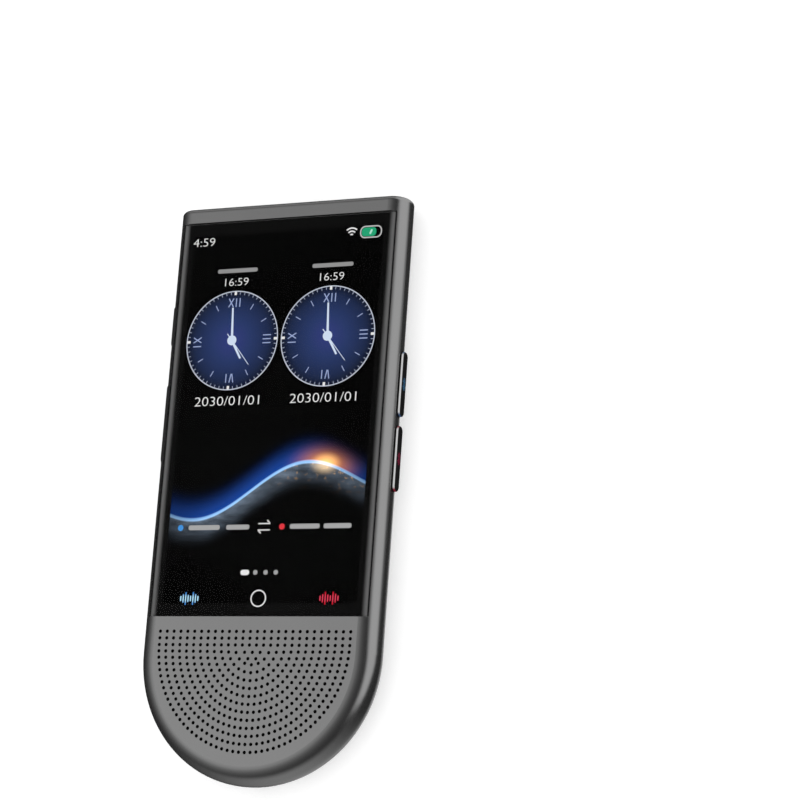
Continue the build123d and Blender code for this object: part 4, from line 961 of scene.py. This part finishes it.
def ribbon_picture(name):
    """The lit picture's ground: black, with an S of light that is warm where it bends."""
    light = Finish(name)
    place = light.place()
    across, up, _ = light.along(place)
    wave = light.math("SINE", across / MM * RIBBON_TURN + RIBBON_START)
    # How high over the ribbon's line, in millimetres: a thin core, with a glow on both sides
    over = up / MM - (wave * RIBBON_SWING + across / MM * RIBBON_SLOPE + RIBBON_Y)
    core = light.step(abs(over), 0.6, 0.1)
    above = light.step(over, 0.1, 0.4) * light.step(over, 8.5, 0.3) ** 2.2
    below = light.step(over, 0.1, -0.3) * light.step(over, -7.5, -0.2) ** 1.6
    fade = light.step(abs(across) / MM, 27.0, 12.0) * 0.6 + 0.4

    # The warm place, with a hot spot in its middle
    to_warm = (-WARM_X * MM, -WARM_Y * WARM_OVAL * MM, 0.0)
    from_warm = light.length(light.moved(place, to_warm, (1.0, WARM_OVAL, 0.0))) / MM
    warm = light.step(from_warm, 12.5, 0.0) ** 1.8
    wide = light.step(from_warm, 20.0, 4.0)
    hot = light.step(from_warm, 4.6, 0.0)

    sweep = light.noise(light.moved(place, scale=(1.0, 3.0, 1.0)), 160.0, 4.0, 0.6)
    glint = light.step(light.noise(place, 900.0, 3.0), 0.58, 0.72) * below * wide
    tone = light.mix(above * fade * (1 - warm), grey(0), colour(24, 66, 150))
    for share, shade in ((below * fade * sweep ** 1.5, colour(150, 168, 190)),
                         (glint * 0.8, colour(190, 140, 60)),
                         (warm * above, colour(226, 132, 20)),
                         (core * fade, colour(150, 202, 255)),
                         (hot * 0.9, colour(255, 214, 150))):
        tone = light.glow(share, tone, shade)
    return light.lit(tone)


# ------------------------------------------------------------------ the screen
def print_border():
    """Black printing round the lit area, on the glass's lower face."""
    width = GLASS_HIGH.x - GLASS_LOW.x - 2 * GLASS_EDGE
    length = GLASS_HIGH.y - GLASS_LOW.y - 2 * GLASS_EDGE
    border = bar("screen_border", 0.0, LIT_Y, width, length, PRINT_LEVEL)
    # One sheet, cut out over the lit area
    cut = bar("lit_opening", 0.0, LIT_Y, LIT_WIDTH, LIT_LENGTH, PRINT_LEVEL - 1.0, thickness=2.0)
    opening = border.modifiers.new("opening", "BOOLEAN")
    opening.operation = "DIFFERENCE"
    opening.solver = "EXACT"
    opening.object = cut
    pick(border)
    bpy.ops.object.modifier_apply(modifier=opening.name)
    bpy.data.objects.remove(cut)
    fit(border, border_ink_with_reflection("border_ink_with_reflection"))


def show_picture():
    """The ground of the lit picture, within the border."""
    picture = bar("screen_picture", 0.0, LIT_Y, LIT_WIDTH, LIT_LENGTH, PRINT_LEVEL)
    fit(picture, ribbon_picture("picture_light"))


def hand(name, x, turn, reach, tail, root, tip):
    """A hand of the dial, narrowing from root to tip, turned clockwise from twelve."""
    hand_y = DIAL_Y + (reach - tail) / 2
    made = bar(name, x, hand_y, root, reach + tail, HAND_LEVEL)
    edit_corners(made, lambda corner: corner.y > hand_y * MM)
    bpy.ops.transform.resize(value=(tip / root, 1, 1), center_override=(x * MM, 0, 0))
    leave()
    made.data.transform(turn_about(x, DIAL_Y, -radians(turn)))
    return made


def numeral(name, x, turn, strokes):
    """A roman numeral of straight strokes, turned clockwise from twelve."""
    lines = []
    for count, (along, slant) in enumerate(strokes):
        line = bar(f"{name}_{count}", x + along, DIAL_Y + NUMERAL_REACH, NUMERAL_STROKE,
                   NUMERAL_HEIGHT / cos(slant), MARK_LEVEL, turn=slant)
        line.data.transform(turn_about(x, DIAL_Y, -turn))
        lines.append(line)
    return joined(lines, name)


def round_dial(mark, name, x, minutes):
    """A mark that was made at twelve, repeated at each of the minutes."""
    marks = [again(mark, f"{name}_{minute}", turn_about(x, DIAL_Y, -minute * pi / 30))
             for minute in minutes]
    bpy.data.objects.remove(mark)
    return joined(marks, name)


def clock(side, name):
    """One dial, with its ticks, numerals and hands, and its place, time and date."""
    x = side * DIAL_X
    edge = DIAL_Y + DIAL_RADIUS
    white = glowing(name + "_white", grey(236))
    soft = glowing(name + "_soft", colour(164, 174, 200))
    pale = glowing(name + "_pale", colour(156, 172, 214))

    dial = disc(name + "_dial", x, DIAL_Y, DIAL_RADIUS, DIAL_LEVEL, 96)
    fit(dial, dial_glow(name + "_ground", x))
    rim = disc(name + "_rim", x, DIAL_Y, DIAL_RADIUS, MARK_LEVEL, 96, DIAL_RADIUS - DIAL_RIM)
    fit(rim, glowing(name + "_rim_light", colour(200, 207, 222)))

    minute = bar(name + "_minute", x, edge - MINUTE_INSET, *MINUTE_TICK, MARK_LEVEL)
    minutes = [step for step in range(60) if step % 15]
    fit(round_dial(minute, name + "_minute_ticks", x, minutes), soft)
    hour = bar(name + "_hour", x, DIAL_Y + NUMERAL_REACH, *HOUR_STROKE, MARK_LEVEL)
    hours = [step for step in range(0, 60, 5) if step % 15]
    fit(round_dial(hour, name + "_hour_strokes", x, hours), pale)
    quarter = bar(name + "_quarter", x, edge - QUARTER_INSET, *QUARTER_TICK, HAND_LEVEL, 0.1)
    fit(round_dial(quarter, name + "_quarter_marks", x, range(0, 60, 15)), white)
    numerals = [numeral(f"{name}_{figure}", x, place * pi / 2, strokes)
                for place, (figure, strokes) in enumerate(ROMAN.items())]
    fit(joined(numerals, name + "_numerals"), pale)

    hands = [hand(f"{name}_{kind}", x, *sizes) for kind, sizes in HANDS.items()]
    hands.append(disc(name + "_hub", x, DIAL_Y, HUB_RADIUS, HUB_LEVEL, 32))
    fit(joined(hands, name + "_hands"), glowing(name + "_hand_light", colour(214, 228, 248)))

    heading = bar(name + "_place_name", x, PLACE_NAME_Y, *PLACE_NAME, MARK_LEVEL, 0.45)
    fit(heading, glowing(name + "_name_light", grey(150)))
    fit(writing(name + "_time", "16:59", x, PLACE_TIME_Y, *PLACE_TIME), white)
    fit(writing(name + "_date", "2030/01/01", x, DATE_Y, *DATE), white)


def signal_arc(name, radius):
    """One arc of the signal sign: a ring cut off by two slanted lines through its middle."""
    arc = disc(name, SIGNAL_X, SIGNAL_Y, radius, MARK_LEVEL, 48, radius - SIGNAL_STROKE)
    edit(arc)
    for side in (-1, 1):
        bpy.ops.mesh.select_all(action="SELECT")
        bpy.ops.mesh.bisect(
            plane_co=(SIGNAL_X * MM, SIGNAL_Y * MM, 0.0), plane_no=(side * 0.75, -0.66, 0.0),
            clear_outer=True, use_fill=True)
    leave()
    return arc


def status_row():
    """Time, signal and charge along the top of the picture."""
    white = glowing("status_white", grey(236))
    fit(writing("status_time", "4:59", STATUS_TIME_X, STATUS_Y, *STATUS_TIME), white)
    waves = [signal_arc(f"signal_arc_{count}", radius)
             for count, radius in enumerate(SIGNAL_ARCS)]
    fit(joined(waves, "signal_sign"), white)
    case = bar("charge_outline", BATTERY_X, STATUS_Y, *BATTERY_CASE, MARK_LEVEL, 1.3,
               wall=BATTERY_WALL)
    fit(case, glowing("charge_case", grey(196)))
    charge = bar("charge_level", CHARGE_X, STATUS_Y, *CHARGE, MARK_LEVEL, 0.85)
    fit(charge, glowing("charge_green", colour(38, 166, 118)))
    bolt = bar("charge_bolt", BATTERY_X, STATUS_Y, *CHARGE_BOLT, HAND_LEVEL, 0.2, -0.4)
    fit(bolt, glowing("charge_pale", colour(176, 232, 212)))


def language_row():
    """The two languages as plain bars, with the arrows that swap them."""
    for name, x, shade in (("blue_dot", BLUE_DOT_X, colour(70, 150, 226)),
                           ("red_dot", RED_DOT_X, colour(226, 58, 66))):
        dot = disc(name, x, LANGUAGE_Y, LANGUAGE_DOT, MARK_LEVEL, 32)
        fit(dot, glowing(name + "_light", shade))
    words = [bar(f"word_{count}", x, LANGUAGE_Y, width, LANGUAGE_HEIGHT, MARK_LEVEL, 0.5)
             for count, (x, width) in enumerate(LANGUAGE_BARS)]
    fit(joined(words, "language_bars"), glowing("language_grey", grey(172)))
    arrows = []
    for side in (1, -1):
        arrows.append(bar(f"arrow_shaft_{side}", 0.0, LANGUAGE_Y + side * 0.75, ARROW_SHAFT,
                          ARROW_STROKE, MARK_LEVEL))
        arrows.append(bar(f"arrow_barb_{side}", side * 1.12, LANGUAGE_Y + side * 1.15,
                          ARROW_BARB, ARROW_STROKE, MARK_LEVEL, turn=-pi / 4))
    fit(joined(arrows, "swap_arrows"), glowing("language_white", grey(232)))


def page_marks():
    """Which page is open: a pill and three dots."""
    pill = bar("page_here", PAGE_HERE_X, PAGE_Y, *PAGE_HERE, MARK_LEVEL, 0.6)
    fit(pill, glowing("page_white", grey(240)))
    dots = [disc(f"page_dot_{count}", x, PAGE_Y, PAGE_DOT, MARK_LEVEL, 24)
            for count, x in enumerate(PAGE_DOTS_X)]
    fit(joined(dots, "page_dots"), glowing("page_grey", grey(172)))


def voice_sign(name, x, y, size, level):
    """The sign of a voice: a row of thin bars with two swells."""
    first = x - (len(VOICE_BARS) - 1) / 2 * VOICE_PITCH * size
    bars = [bar(f"{name}_{count}", first + count * VOICE_PITCH * size, y, VOICE_BAR * size,
                height * size, level, VOICE_CORNER * size)
            for count, height in enumerate(VOICE_BARS)]
    return joined(bars, name)


def bottom_row():
    """Voice signs for both keys, and the home ring between them."""
    for name, x, tip, core in (
            ("blue_voice", -VOICE_X, colour(58, 130, 205), colour(176, 226, 250)),
            ("red_voice", VOICE_X, colour(196, 22, 40), colour(214, 60, 84))):
        sign = voice_sign(name, x, BOTTOM_Y, 1.0, MARK_LEVEL)
        fit(sign, voice_glow(name + "_light", tip, core))
    home = disc("home_ring", 0.0, BOTTOM_Y, HOME_RADIUS, MARK_LEVEL, 64, HOME_HOLE)
    fit(home, glowing("home_white", grey(236)))


def build_screen():
    """All that shows through the cover glass."""
    print_border()
    show_picture()
    clock(-1, "left_clock")
    clock(1, "right_clock")
    status_row()
    language_row()
    page_marks()
    bottom_row()


# ------------------------------------------------------------------ keys and flash
def mark_keys():
    """The voice sign painted small on each translation key's face."""
    # Stands a sign up, so that it runs along the key and faces outwards
    upright = Matrix(((0, 0, 1, 0), (1, 0, 0, 0), (0, 1, 0, 0), (0, 0, 0, 1)))
    for name, shade in (("blue_key", colour(56, 118, 160)), ("red_key", colour(150, 10, 62))):
        sign = voice_sign(name + "_sign", 0.0, 0.0, KEY_SIGN_SIZE, 0.0)
        sign.data.transform(move_by(KEY_FACE_X + KEY_SIGN_GAP, middle(name).y, KEY_Z) @ upright)
        fit(sign, key_paint(name + "_paint", shade), name)


def face_flash():
    """The flash's frosted face, pressed on the window's inner side, with a paler edge."""
    inside = FLASH_RADIUS - FLASH_RIM
    face = disc("flash_face", 0.0, CAMERA_BUMP_Y, inside, FLASH_LEVEL)
    fit(face, flash_dome("flash_frost"))
    edge = disc("flash_edge", 0.0, CAMERA_BUMP_Y, FLASH_RADIUS, FLASH_LEVEL, 64, inside)
    fit(edge, frosted_edge("flash_edge_frost"))


bpy.context.scene.view_settings.view_transform = "Standard"
add_camera()
light_scene()
add_floor()
finish_nodes()
build_screen()
mark_keys()
face_flash()
